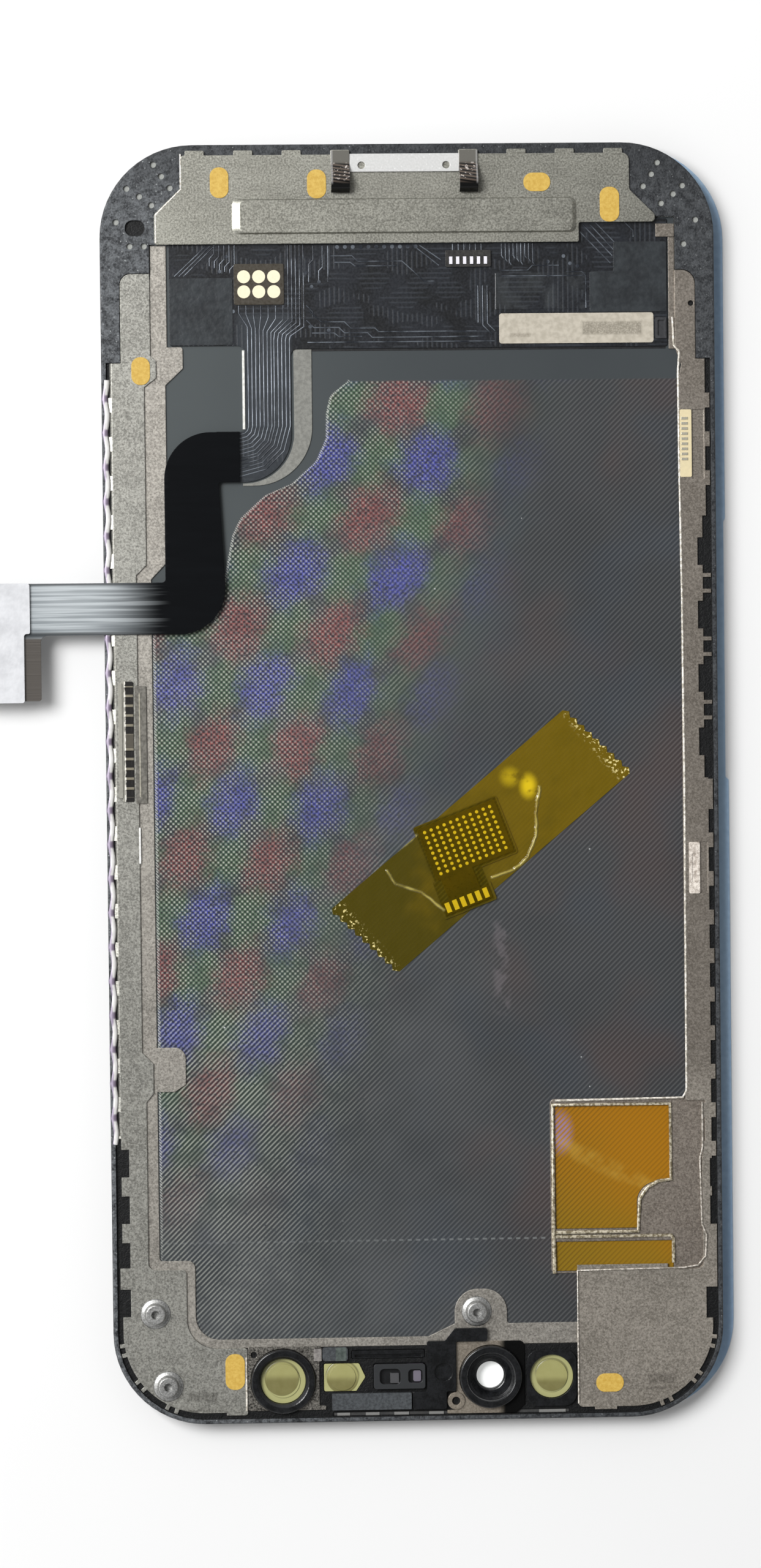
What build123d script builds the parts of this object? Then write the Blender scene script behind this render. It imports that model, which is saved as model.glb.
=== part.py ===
from build123d import *
import math
import os

os.makedirs("parts", exist_ok=True)

# Phone screen assembly lying on its front, seen from the rear.
# Millimetres. X runs across the screen, Y along it and Z up from the front face.
# The origin is the middle of the frame outline on the front face.

# frame outline
frame_width = 66.4
frame_length = 138.4
corner_radius = 10.0
rim_width = 0.5
wall_thickness = 1.8
fit_gap = 0.05
cell_gap = 0.1

left = -frame_width / 2
right = frame_width / 2
bottom = -frame_length / 2
top = frame_length / 2

# sheet thicknesses from the front face up
film_thickness = 0.1
glass_thickness = 0.7
adhesive_thickness = 0.12
polarizer_thickness = 0.1
filter_glass_thickness = 0.15
array_glass_thickness = 0.15
prism_thickness = 0.06
diffuser_thickness = 0.06
guide_thickness = 0.36
reflector_thickness = 0.08
rear_film_thickness = 0.1
low_plate_thickness = 0.15
side_plate_thickness = 0.2
land_height = 0.31
bracket_thickness = 0.2

glass_level = film_thickness
adhesive_level = glass_level + glass_thickness
front_polarizer_level = adhesive_level + adhesive_thickness
filter_level = front_polarizer_level + polarizer_thickness
array_level = filter_level + filter_glass_thickness
rear_polarizer_level = array_level + array_glass_thickness
upper_prism_level = rear_polarizer_level + polarizer_thickness
lower_prism_level = upper_prism_level + prism_thickness
diffuser_level = lower_prism_level + prism_thickness
guide_level = diffuser_level + diffuser_thickness
reflector_level = guide_level + guide_thickness
rear_film_level = reflector_level + reflector_thickness
low_level = rear_film_level + rear_film_thickness
deck_level = low_level + low_plate_thickness
plate_top = deck_level + side_plate_thickness
land_level = deck_level + land_height
bracket_top = land_level + bracket_thickness

# display cell: a rounded rectangle with a notch for the sensors
cavity_left = left + wall_thickness
cavity_right = right - wall_thickness
cavity_bottom = bottom + wall_thickness
cavity_top = top - wall_thickness
cavity_radius = corner_radius - wall_thickness
notch_left = -19.0
notch_right = 17.9
notch_top = bottom + 8.6
notch_radius = 1.5
notch_foot_radius = 0.6
fold_thickness = 0.1
fold_room = 0.4
ledge_length = 2.4
backlight_inset = 0.3
backlight_end = 0.8
guide_end = 2.2

# clear panel area seen from the rear, and the seams of the side plates
panel_left_upper = left + 6.9
panel_left_lower = left + 5.1
panel_right = right - 3.9
panel_bottom = bottom + 9.15
corner_shelf_x = left + 8.95
corner_shelf_y = bottom + 17.8
seam_width = 0.95
seam_top_x = left + 5.3
seam_upper_x = left + 4.6
seam_lower_x = left + 3.5
seam_foot_x = left + 3.9
plate_top_y = top - 13.8
plate_shoulder_y = top - 23.4
shoulder_x = 2.1
tuck = 0.6

# sensor strip at the lower end
band_width = 0.95
band_bottom = panel_bottom - band_width
lobe_left = 3.9
lobe_right = 9.6
lobe_top = bottom + 14.25
lobe_foot_y = bottom + 10.45
lobe_radius = 2.5

# lower right: plate with two film windows, under the corner cover
window_plate_left = right - 18.7
window_plate_top = bottom + 34.8
window_plate_bottom = bottom + 15.8
window_border = 0.5
cover_left = notch_right - 0.6
cover_top = bottom + 16.7
cover_step_y = bottom + 16.1
cover_step_x = right - 6.0
cover_inner_x = right - 1.8

# driver board and its neck
board_left = left + 7.4
board_right = right - 5.1
board_bottom = top - 22.0
board_top = top - 8.2
neck_left = left + 15.55
neck_right = left + 20.45
neck_turn_top = top - 30.85
neck_turn_bottom = top - 36.3
neck_end = left + 12.6
neck_bend_radius = 5.2

# flexible tail
tail_thickness = 0.12
tail_top = top - 30.9
tail_arm_left = left + 6.65
tail_arm_right_top = left + 12.5
tail_arm_right_foot = left + 13.4
tail_run_top = top - 47.05
tail_run_width = 5.6
tail_bend_radius = 5.0
tail_root = left + 14.8
head_right = left - 6.85
head_width = 7.55
head_left = head_right - head_width
head_length = 12.65


def closed_outline(corners):
    # each corner is x, y and the radius of its round
    points = [(x, y) for x, y, radius in corners]
    rounds = [radius for x, y, radius in corners]
    with BuildLine() as line:
        FilletPolyline(points, radius=rounds, close=True)
    make_face(line.edges())


def slab(corners, low, high, mode=Mode.ADD):
    # a flat piece with the outline given by its corners
    with BuildSketch(Plane.XY.offset(low)) as profile:
        closed_outline(corners)
    extrude(profile.sketch, amount=high - low, mode=mode)


def block(x0, x1, y0, y1, low, high, radius=0, mode=Mode.ADD):
    corners = [(x0, y0, radius), (x1, y0, radius), (x1, y1, radius), (x0, y1, radius)]
    slab(corners, low, high, mode)


def disc(x, y, radius, low, high, mode=Mode.ADD):
    with BuildSketch(Plane.XY.offset(low)) as profile:
        with Locations((x, y)):
            Circle(radius)
    extrude(profile.sketch, amount=high - low, mode=mode)


def cell_corners(side, end, radius):
    # the cell outline drawn in from the cavity by side, and by end at the board end
    x0 = cavity_left + side
    x1 = cavity_right - side
    y0 = cavity_bottom + side
    y1 = cavity_top - end
    corner_room = min(notch_left - side - x0, x1 - notch_right - side)
    radius = min(radius, corner_room - notch_foot_radius - fit_gap)
    return [
        (x0, y0, radius), (notch_left - side, y0, notch_foot_radius),
        (notch_left - side, notch_top + side, notch_radius),
        (notch_right + side, notch_top + side, notch_radius),
        (notch_right + side, y0, notch_foot_radius), (x1, y0, radius),
        (x1, y1, radius), (x0, y1, radius),
    ]


# front protective film, laid on a little to the right
film_shift = 1.35
film_inset = 0.3
film_step = 0.35
film_step_upper = top - 41.0
film_step_lower = top - 68.8

with BuildPart() as protective_film:
    film_left = left + film_inset + film_shift
    film_right = right - film_inset + film_shift
    slab([
        (film_left, bottom + film_inset, corner_radius),
        (film_right + film_step, bottom + film_inset, corner_radius),
        (film_right + film_step, film_step_lower - film_step, 0),
        (film_right, film_step_lower, 0),
        (film_right, film_step_upper, 0),
        (film_right + film_step / 2, film_step_upper + film_step, 0),
        (film_right + film_step / 2, top - film_inset, corner_radius),
        (film_left, top - film_inset, corner_radius),
    ], 0, film_thickness)
protective_film.part.label = "protective_film"
export_step(protective_film.part, "parts/protective_film.step")

# cover glass with a rounded front edge and a slot for the earpiece
glass_inset = 0.1
glass_edge_radius = 0.35
ear_slot_x = -3.4
ear_slot_length = 7.6
ear_slot_width = 0.7
ear_slot_y = bottom + 7.3

with BuildPart() as cover_glass:
    glass_radius = corner_radius - glass_inset
    block(left + glass_inset, right - glass_inset, bottom + glass_inset, top - glass_inset,
          glass_level, adhesive_level, glass_radius)
    fillet(cover_glass.faces().sort_by(Axis.Z)[0].edges(), glass_edge_radius)
    with BuildSketch(Plane.XY.offset(glass_level)):
        with Locations((ear_slot_x, ear_slot_y)):
            SlotOverall(ear_slot_length, ear_slot_width)
    extrude(amount=glass_thickness, mode=Mode.SUBTRACT)
cover_glass.part.label = "cover_glass"
export_step(cover_glass.part, "parts/cover_glass.step")

# the flat sheets of the display cell and of its backlight
ledge_end = fold_room + cell_gap + ledge_length
full_end = fold_room + cell_gap
light_side = cell_gap + backlight_inset
light_end = full_end + backlight_end

with BuildPart() as optical_adhesive:
    slab(cell_corners(cell_gap, ledge_end, cavity_radius), adhesive_level, front_polarizer_level)
optical_adhesive.part.label = "optical_adhesive"
export_step(optical_adhesive.part, "parts/optical_adhesive.step")

with BuildPart() as front_polarizer:
    slab(cell_corners(cell_gap, ledge_end, cavity_radius), front_polarizer_level, filter_level)
front_polarizer.part.label = "front_polarizer"
export_step(front_polarizer.part, "parts/front_polarizer.step")

with BuildPart() as colour_filter_glass:
    slab(cell_corners(cell_gap, ledge_end, cavity_radius), filter_level, array_level)
colour_filter_glass.part.label = "colour_filter_glass"
export_step(colour_filter_glass.part, "parts/colour_filter_glass.step")

with BuildPart() as array_glass:
    slab(cell_corners(cell_gap, full_end, cavity_radius), array_level, rear_polarizer_level)
array_glass.part.label = "array_glass"
export_step(array_glass.part, "parts/array_glass.step")

with BuildPart() as rear_polarizer:
    slab(cell_corners(light_side, light_end, cavity_radius), rear_polarizer_level, upper_prism_level)
rear_polarizer.part.label = "rear_polarizer"
export_step(rear_polarizer.part, "parts/rear_polarizer.step")

with BuildPart() as upper_prism_film:
    slab(cell_corners(light_side, light_end, cavity_radius), upper_prism_level, lower_prism_level)
upper_prism_film.part.label = "upper_prism_film"
export_step(upper_prism_film.part, "parts/upper_prism_film.step")

with BuildPart() as lower_prism_film:
    slab(cell_corners(light_side, light_end, cavity_radius), lower_prism_level, diffuser_level)
lower_prism_film.part.label = "lower_prism_film"
export_step(lower_prism_film.part, "parts/lower_prism_film.step")

with BuildPart() as diffuser_film:
    slab(cell_corners(light_side, light_end, cavity_radius), diffuser_level, guide_level)
diffuser_film.part.label = "diffuser_film"
export_step(diffuser_film.part, "parts/diffuser_film.step")

with BuildPart() as light_guide:
    slab(cell_corners(light_side, light_end + guide_end, cavity_radius), guide_level, reflector_level)
light_guide.part.label = "light_guide"
export_step(light_guide.part, "parts/light_guide.step")

with BuildPart() as reflector_film:
    slab(cell_corners(light_side, light_end, cavity_radius), reflector_level, rear_film_level)
reflector_film.part.label = "reflector_film"
export_step(reflector_film.part, "parts/reflector_film.step")

# strip of light emitters along the board end of the light guide
led_count = 11
led_pitch = 3.9
led_length = 2.6
led_width = 0.7
led_strip_width = 1.2
led_strip_thickness = 0.08
led_gap = 0.15

with BuildPart() as led_strip:
    strip_y1 = cavity_top - light_end - led_gap
    strip_y0 = strip_y1 - led_strip_width
    strip_half = led_count * led_pitch / 2
    block(-strip_half, strip_half, strip_y0, strip_y1, guide_level, guide_level + led_strip_thickness)
    with BuildSketch(Plane.XY.offset(guide_level + led_strip_thickness)):
        with Locations((0, strip_y0 + led_width / 2)):
            with GridLocations(led_pitch, led_width, led_count, 1):
                Rectangle(led_length, led_width)
    extrude(amount=guide_thickness - led_strip_thickness - fit_gap)
led_strip.part.label = "led_strip"
export_step(led_strip.part, "parts/led_strip.step")

# driver chip on the front of the array glass ledge
chip_length = 21.0
chip_width = 1.0
chip_height = 0.2
chip_edge_gap = 1.2

with BuildPart() as driver_chip:
    chip_y = cavity_top - full_end - chip_edge_gap - chip_width / 2
    block(-chip_length / 2, chip_length / 2, chip_y - chip_width / 2, chip_y + chip_width / 2,
          array_level - chip_height, array_level)
driver_chip.part.label = "driver_chip"
export_step(driver_chip.part, "parts/driver_chip.step")

# flex that folds from the ledge round the end of the cell to the board
fold_width = 38.0
fold_bond = 0.9
fold_slot_gap = 0.5

with BuildPart() as panel_fold_flex:
    fold_y1 = cavity_top - cell_gap
    fold_y0 = cavity_top - full_end - fold_bond
    with BuildSketch(Plane.YZ.offset(-fold_width / 2)):
        closed_outline([
            (fold_y0, array_level - fold_thickness, 0), (fold_y1, array_level - fold_thickness, 0.12),
            (fold_y1, low_level + fold_thickness, 0.12), (board_top + fit_gap, low_level + fold_thickness, 0),
            (board_top + fit_gap, low_level, 0), (fold_y1 - fold_thickness, low_level, 0),
            (fold_y1 - fold_thickness, array_level, 0), (fold_y0, array_level, 0),
        ])
    extrude(amount=fold_width)
panel_fold_flex.part.label = "panel_fold_flex"
export_step(panel_fold_flex.part, "parts/panel_fold_flex.step")

# opening in the deck of the frame, which holds the rear film and the low plates
open_left = seam_lower_x - tuck - fit_gap
open_right = panel_right + tuck
open_top = board_top + 0.2
open_bottom = band_bottom - fit_gap
fold_half = fold_width / 2 + fold_slot_gap
cover_tuck_x = cover_left + tuck
window_tuck_x = cover_inner_x + 0.4
window_tuck_y = window_plate_bottom - fit_gap
shelf_tuck_x = corner_shelf_x - seam_width - tuck / 2
shelf_tuck_y = corner_shelf_y - seam_width - tuck / 2
end_strip_right = right - 4.3
end_strip_top = top - 8.8


def deck_opening(gap, slot_end):
    # gap draws the outline in, for the sheet that lies in the opening; the slot is for the fold
    return [
        (seam_top_x + gap, plate_top_y - tuck, 0), (seam_top_x + gap, top - 10.7 - gap, 0),
        (board_left - 0.25 + gap, top - 10.7 - gap, 0), (board_left - 0.25 + gap, open_top - gap, 0),
        (-fold_half + gap, open_top - gap, 0), (-fold_half + gap, slot_end, 0),
        (fold_half - gap, slot_end, 0), (fold_half - gap, open_top - gap, 0),
        (end_strip_right + fit_gap - gap, open_top - gap, 0),
        (end_strip_right + fit_gap - gap, plate_top_y - tuck, 0), (open_right - gap, plate_top_y - tuck, 0),
        (open_right - gap, window_plate_top + tuck, 0), (window_tuck_x - gap, window_plate_top + tuck, 0),
        (window_tuck_x - gap, window_tuck_y + gap, 0), (cover_tuck_x + 0.1 - gap, window_tuck_y + gap, 0),
        (cover_tuck_x + 0.1 - gap, open_bottom + gap, 0), (shelf_tuck_x + gap, open_bottom + gap, 3.6),
        (shelf_tuck_x + gap, shelf_tuck_y + gap, 0), (open_left + gap, shelf_tuck_y + gap, 0),
        (open_left + gap, plate_top_y - tuck, 0),
    ]


with BuildPart() as rear_film:
    slab(deck_opening(fit_gap, fold_y1 - fold_thickness - fit_gap), rear_film_level, low_level)
rear_film.part.label = "rear_film"
export_step(rear_film.part, "parts/rear_film.step")

# sensor places along the lower strip
ring_x = -14.85
ring_y = bottom + 4.55
ring_radius = 3.5
ring_hole_radius = 2.5
ring_height = 0.75
seat_depth = 0.7
seat_flange = 0.3
camera_x = 7.75
camera_y = bottom + 4.7
camera_radius = 3.4
camera_bore_radius = 1.5
camera_height = 0.85
square_x = 14.38
square_y = bottom + 4.45
square_width = 5.4
square_length = 6.1
square_radius = 1.3
square_height = 0.4
square_hole_radius = 2.4
square_seat_width = square_width - 2 * seat_flange
square_seat_length = square_length - 2 * seat_flange
flood_x = -8.15
flood_y = bottom + 4.85
flood_width = 4.5
flood_length = 3.0
flood_point = 1.0
holder_x = -2.2
holder_y = bottom + 4.9
holder_width = 5.6
holder_length = 2.7
pocket_depth = 0.45
ear_bar_length = 7.9
ear_bar_width = 0.85
tab_groove_left = -9.4
tab_groove_right = 16.3
tab_groove_y = bottom + 0.82
tab_groove_width = 0.42
pip_radius = 0.33
pip_depth = 0.22
vent_x = left + 3.8
vent_y = top - 8.9
vent_length = 2.1
vent_width = 1.7
vent_depth = 0.28
frame_edge_radius = 0.2
seat_level = deck_level - seat_depth
flood_floor = deck_level - pocket_depth

# moulded dimples in the two upper corners, as distances from the side and from the top
left_pips = [(5.85, 2.1), (6.7, 3.35), (2.95, 4.65), (4.3, 5.5), (5.6, 6.45),
             (7.6, 4.6), (1.75, 8.25), (3.2, 10.85), (4.75, 10.85)]
right_pips = [(6.1, 2.2), (6.75, 3.45), (7.65, 4.75), (3.4, 4.7), (4.4, 5.6),
              (5.7, 6.6), (2.0, 8.4), (3.3, 11.0)]


def flood_corners(gap):
    # a window with one blunt pointed end
    x0 = flood_x - flood_width / 2 - gap
    x1 = flood_x + flood_width / 2 + gap
    y0 = flood_y - flood_length / 2 - gap
    y1 = flood_y + flood_length / 2 + gap
    return [
        (x0, y0, 0.2), (x1 - flood_point, y0, 0.15), (x1, flood_y, 0.3),
        (x1 - flood_point + 0.3, y1, 0.15), (x0, y1, 0.2),
    ]


# black moulded frame: wall round the cell, deck behind it, land at the board end, sensor pockets
with BuildPart() as bezel_frame:
    block(left, right, bottom, top, adhesive_level, land_level, corner_radius)
    fillet(bezel_frame.faces().sort_by(Axis.Z)[-1].edges(), frame_edge_radius)
    slab(cell_corners(0, 0, cavity_radius), adhesive_level, rear_film_level, Mode.SUBTRACT)
    slab(deck_opening(0, cavity_top), rear_film_level, land_level, Mode.SUBTRACT)
    slab([
        (left + shoulder_x - fit_gap, plate_shoulder_y + fit_gap, 0),
        (left + rim_width, plate_shoulder_y + fit_gap, 0),
        (left + rim_width, bottom + rim_width, corner_radius - rim_width),
        (right - rim_width, bottom + rim_width, corner_radius - rim_width),
        (right - rim_width, plate_shoulder_y + fit_gap, 0),
        (right - shoulder_x + fit_gap, plate_shoulder_y + fit_gap, 0),
        (right - shoulder_x + fit_gap, plate_top_y + fit_gap, 1.5),
        (left + shoulder_x - fit_gap, plate_top_y + fit_gap, 1.2),
    ], deck_level, land_level, Mode.SUBTRACT)
    disc(ring_x, ring_y, ring_radius - seat_flange + fit_gap, seat_level, deck_level, Mode.SUBTRACT)
    disc(camera_x, camera_y, camera_radius - seat_flange + fit_gap, seat_level, deck_level, Mode.SUBTRACT)
    disc(camera_x, camera_y, camera_bore_radius, adhesive_level, deck_level, Mode.SUBTRACT)
    block(square_x - square_seat_width / 2 - fit_gap, square_x + square_seat_width / 2 + fit_gap,
          square_y - square_seat_length / 2 - fit_gap, square_y + square_seat_length / 2 + fit_gap,
          seat_level, deck_level, square_radius, Mode.SUBTRACT)
    slab(flood_corners(fit_gap), flood_floor, deck_level, Mode.SUBTRACT)
    block(holder_x - holder_width / 2 - fit_gap, holder_x + holder_width / 2 + fit_gap,
          holder_y - holder_length / 2 - fit_gap, holder_y + holder_length / 2 + fit_gap,
          flood_floor, deck_level, 0.3, Mode.SUBTRACT)
    block(ear_slot_x - ear_bar_length / 2 - fit_gap, ear_slot_x + ear_bar_length / 2 + fit_gap,
          ear_slot_y - ear_bar_width / 2 - fit_gap, ear_slot_y + ear_bar_width / 2 + fit_gap,
          flood_floor, deck_level, 0.2, Mode.SUBTRACT)
    with BuildSketch(Plane.XY.offset(adhesive_level)):
        with Locations((ear_slot_x, ear_slot_y)):
            SlotOverall(ear_slot_length, ear_slot_width)
    extrude(amount=deck_level - adhesive_level, mode=Mode.SUBTRACT)
    block(tab_groove_left, tab_groove_right, tab_groove_y - tab_groove_width / 2,
          tab_groove_y + tab_groove_width / 2, deck_level - low_plate_thickness, deck_level,
          0, Mode.SUBTRACT)
    with BuildSketch(Plane.XY.offset(land_level)):
        with Locations(*[(left + side, top - down) for side, down in left_pips]):
            Circle(pip_radius)
        with Locations(*[(right - side, top - down) for side, down in right_pips]):
            Circle(pip_radius)
    extrude(amount=-pip_depth, mode=Mode.SUBTRACT)
    with BuildSketch(Plane.XY.offset(land_level)):
        with Locations((vent_x, vent_y)):
            RectangleRounded(vent_length, vent_width, vent_width / 2.2)
    extrude(amount=-vent_depth, mode=Mode.SUBTRACT)
bezel_frame.part.label = "bezel_frame"
export_step(bezel_frame.part, "parts/bezel_frame.step")

# moulded-in edge of the side plates: teeth, prongs and notches at a regular pitch
edge_inset = 1.1
tooth_inset = 0.6
tooth_pitch = 4.2
tooth_length = 1.6
tooth_start_y = top - 27.9
flange_inset = 0.9
flange_lip = 0.05
corner_x = frame_width / 2 - corner_radius
corner_y = bottom + corner_radius
prong_width = 0.42
prong_spread = 3.3
prong_pitch = 27.0
prong_first = 11.8
prong_sets = 3


def bevel_strip(y0, y1, x_out, x_in):
    # an edge bent down from the top of the plate, along y
    with BuildSketch(Plane.XZ.offset(-y1)) as profile:
        closed_outline([
            (x_in, deck_level, 0), (x_out, deck_level, 0),
            (x_out, deck_level + flange_lip, 0), (x_in, plate_top, 0),
        ])
    extrude(profile.sketch, amount=y1 - y0)


def corner_prongs(side):
    # pairs of prongs round a lower corner; side is -1 at the left and 1 at the right
    prong_length = edge_inset - tooth_inset + 0.3
    middle = corner_radius - tooth_inset - prong_length / 2
    with BuildSketch(Plane.XY.offset(deck_level)) as profile:
        for step in range(prong_sets):
            for spread in (-prong_spread, prong_spread):
                turn = prong_first + prong_pitch * step + spread
                angle = -turn if side > 0 else 180 + turn
                x = side * corner_x + middle * math.cos(math.radians(angle))
                y = corner_y + middle * math.sin(math.radians(angle))
                with Locations(Location((x, y, 0), (0, 0, angle))):
                    Rectangle(prong_length, prong_width)
    extrude(profile.sketch, amount=side_plate_thickness)


# left side plate, with the lower left corner
plate_end_x = notch_left + 0.3
plate_foot_y = bottom + 1.2
foot_step = 0.3
foot_step_x = plate_end_x - 2.3
foot_corner_radius = 0.3
plate_corner_radius = corner_radius - 1.2
left_corner_radius = min(plate_corner_radius, foot_step_x - left - edge_inset - fit_gap)
shelf_room = plate_end_x - foot_corner_radius - corner_shelf_x + seam_width - fit_gap
shelf_curve_radius = min(3.2, shelf_room)
pad_bulge = 0.6
left_notch_pitch = 5.07
left_notch_count = 4
left_notch_length = 3.0
left_notch_top_y = bottom + 28.5
notch_inset = 1.95
long_tooth_y = bottom + 15.95
long_tooth_length = 2.3
seam_tab_top = bottom + 40.5
seam_tab_length = 4.4
seam_tab_reach = 1.2
seam_jog_y = top - 45.7

with BuildPart() as left_side_plate:
    slab([
        (left + shoulder_x, plate_top_y, 1.2), (seam_top_x, plate_top_y, 0),
        (seam_top_x, plate_shoulder_y + 0.8, 0), (seam_top_x + pad_bulge, plate_shoulder_y + 0.2, 0),
        (seam_top_x + pad_bulge, plate_shoulder_y - 1.6, 0), (seam_upper_x, plate_shoulder_y - 2.6, 0),
        (seam_upper_x, seam_jog_y + 0.55, 0), (seam_lower_x, seam_jog_y - 0.55, 0),
        (seam_lower_x, seam_tab_top, 0), (seam_lower_x + seam_tab_reach, seam_tab_top - 1.2, 0),
        (seam_lower_x + seam_tab_reach, seam_tab_top - seam_tab_length, 0),
        (seam_foot_x, seam_tab_top - seam_tab_length - 1.0, 0),
        (seam_foot_x, corner_shelf_y - seam_width, 0.8),
        (corner_shelf_x - seam_width, corner_shelf_y - seam_width, 0.5),
        (corner_shelf_x - seam_width, band_bottom, shelf_curve_radius),
        (plate_end_x, band_bottom, foot_corner_radius),
        (plate_end_x, plate_foot_y - foot_step, foot_corner_radius),
        (foot_step_x, plate_foot_y - foot_step, 0),
        (foot_step_x, plate_foot_y, 0), (left + edge_inset, plate_foot_y, left_corner_radius),
        (left + edge_inset, plate_shoulder_y, 0), (left + shoulder_x, plate_shoulder_y, 0),
    ], deck_level, plate_top)
    for step in range(left_notch_count):
        notch_y = left_notch_top_y - left_notch_pitch * step
        block(left, left + notch_inset, notch_y - left_notch_length / 2, notch_y + left_notch_length / 2,
              deck_level, plate_top, 0, Mode.SUBTRACT)
    block(left + tooth_inset + 0.25, left + edge_inset + 1.0, long_tooth_y - long_tooth_length / 2,
          long_tooth_y + long_tooth_length / 2, deck_level, plate_top)
    flange_foot_y = left_notch_top_y + left_notch_length / 2 + 1.2
    bevel_strip(flange_foot_y, plate_shoulder_y, left + flange_inset, left + edge_inset)
    tooth_count = int((tooth_start_y + tooth_length / 2 - flange_foot_y) / tooth_pitch) + 1
    for step in range(tooth_count):
        tooth_y = tooth_start_y - tooth_pitch * step
        bevel_strip(max(tooth_y - tooth_length / 2, flange_foot_y), tooth_y + tooth_length / 2,
                    left + tooth_inset, left + edge_inset)
    corner_prongs(-1)
left_side_plate.part.label = "left_side_plate"
export_step(left_side_plate.part, "parts/left_side_plate.step")

# right side plate, with the lower right corner cover
island_inset = 1.5
island_top_y = top - 40.4
island_bottom_y = top - 68.8
right_notch_inset = 2.05
right_notch_length = 3.0
right_notch_pitch = 6.88
right_notch_top_y = top - 44.25
right_notch_count = 4
right_prong_spread = 0.85
block_tooth_y = top - 70.6
block_tooth_length = 3.3
lower_tooth_start_y = top - 75.6
gap_inset = 1.3
gap_length = 3.1
gap_top_y = bottom + 26.6
gap_pitch = 4.1
lower_tooth_count = int((lower_tooth_start_y - gap_top_y - gap_length / 2) / tooth_pitch) + 1
cover_notch_y = bottom + 12.4
cover_notch_length = 3.4
recess_depth = 0.1
upper_recess_y0 = top - 36.4
upper_recess_y1 = top - 28.9
lower_recess_y0 = top - 81.4
lower_recess_y1 = top - 75.8
recess_right = right - 1.25
pin_hole_radius = 0.3
cover_curve_radius = 1.3
cover_step_end = cover_left + 4.2
right_corner_radius = min(plate_corner_radius, right - edge_inset - cover_step_end - fit_gap)


def edge_block(y, length, inset, mode=Mode.ADD, depth=1.5):
    # a tooth on the right edge, or a notch in it
    x0 = right - inset - depth if mode is Mode.ADD else right - inset
    x1 = right - inset if mode is Mode.ADD else right
    block(x0, x1, y - length / 2, y + length / 2, deck_level, plate_top, 0, mode)


with BuildPart() as right_side_plate:
    slab([
        (right - shoulder_x, plate_top_y, 1.5), (end_strip_right, plate_top_y, 0),
        (end_strip_right, plate_shoulder_y + 1.2, 0), (panel_right + 0.25, plate_shoulder_y - 0.6, 0.5),
        (panel_right, plate_shoulder_y - 2.0, 0), (panel_right, window_plate_top - 0.3, 0),
        (cover_inner_x, window_plate_top - 0.3, 0), (cover_inner_x, window_plate_top - 5.8, 0),
        (cover_inner_x - 0.35, window_plate_top - 6.6, 0),
        (cover_inner_x - 0.35, window_plate_top - 14.1, 0),
        (cover_inner_x + 0.1, window_plate_top - 14.8, 0),
        (cover_inner_x + 0.1, cover_step_y, cover_curve_radius), (cover_step_x, cover_step_y, 0),
        (cover_step_x, cover_top, 0), (cover_left, cover_top, 0),
        (cover_left, plate_foot_y, 0.5), (cover_left + 1.8, plate_foot_y, 0),
        (cover_left + 1.8, plate_foot_y - foot_step, 0), (cover_step_end, plate_foot_y - foot_step, 0),
        (cover_step_end, plate_foot_y, 0), (right - edge_inset, plate_foot_y, right_corner_radius),
        (right - edge_inset, plate_shoulder_y, 0), (right - shoulder_x, plate_shoulder_y, 0),
    ], deck_level, plate_top)
    for step in range(3):
        edge_block(tooth_start_y - tooth_pitch * step, tooth_length, tooth_inset)
    for step in range(lower_tooth_count):
        edge_block(lower_tooth_start_y - tooth_pitch * step, tooth_length, tooth_inset)
    edge_block(block_tooth_y, block_tooth_length, tooth_inset)
    edge_block((gap_top_y - gap_pitch - gap_length / 2 + cover_notch_y + cover_notch_length / 2) / 2,
               gap_top_y - gap_pitch - gap_length / 2 - cover_notch_y - cover_notch_length / 2, tooth_inset)
    edge_block((island_top_y + island_bottom_y) / 2, island_top_y - island_bottom_y, island_inset,
               Mode.SUBTRACT)
    for step in range(right_notch_count):
        edge_block(right_notch_top_y - right_notch_pitch * step, right_notch_length, right_notch_inset,
                   Mode.SUBTRACT)
    for step in range(right_notch_count - 1):
        island_y = right_notch_top_y - right_notch_pitch * (step + 0.5)
        for spread in (-right_prong_spread, right_prong_spread):
            edge_block(island_y + spread, prong_width, tooth_inset)
    for step in range(2):
        edge_block(gap_top_y - gap_pitch * step, gap_length, gap_inset, Mode.SUBTRACT)
    edge_block(cover_notch_y, cover_notch_length, notch_inset - 0.15, Mode.SUBTRACT)
    block(right - 2.5, recess_right, upper_recess_y0, upper_recess_y1, plate_top - recess_depth,
          plate_top, 0, Mode.SUBTRACT)
    block(right - 2.05, recess_right, lower_recess_y0, lower_recess_y1, plate_top - recess_depth,
          plate_top, 0, Mode.SUBTRACT)
    disc(right - 2.55, top - 17.4, pin_hole_radius, deck_level, plate_top, Mode.SUBTRACT)
    corner_prongs(1)
right_side_plate.part.label = "right_side_plate"
export_step(right_side_plate.part, "parts/right_side_plate.step")

# inner retainer: thin plate that runs down the left of the panel and along its lower edge
retainer_top = top - 10.8
retainer_right = board_left - 0.3
board_tab_right = left + 8.8
panel_tab_reach = 3.1
panel_tab_top = bottom + 41.0
panel_tab_length = 4.8

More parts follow.
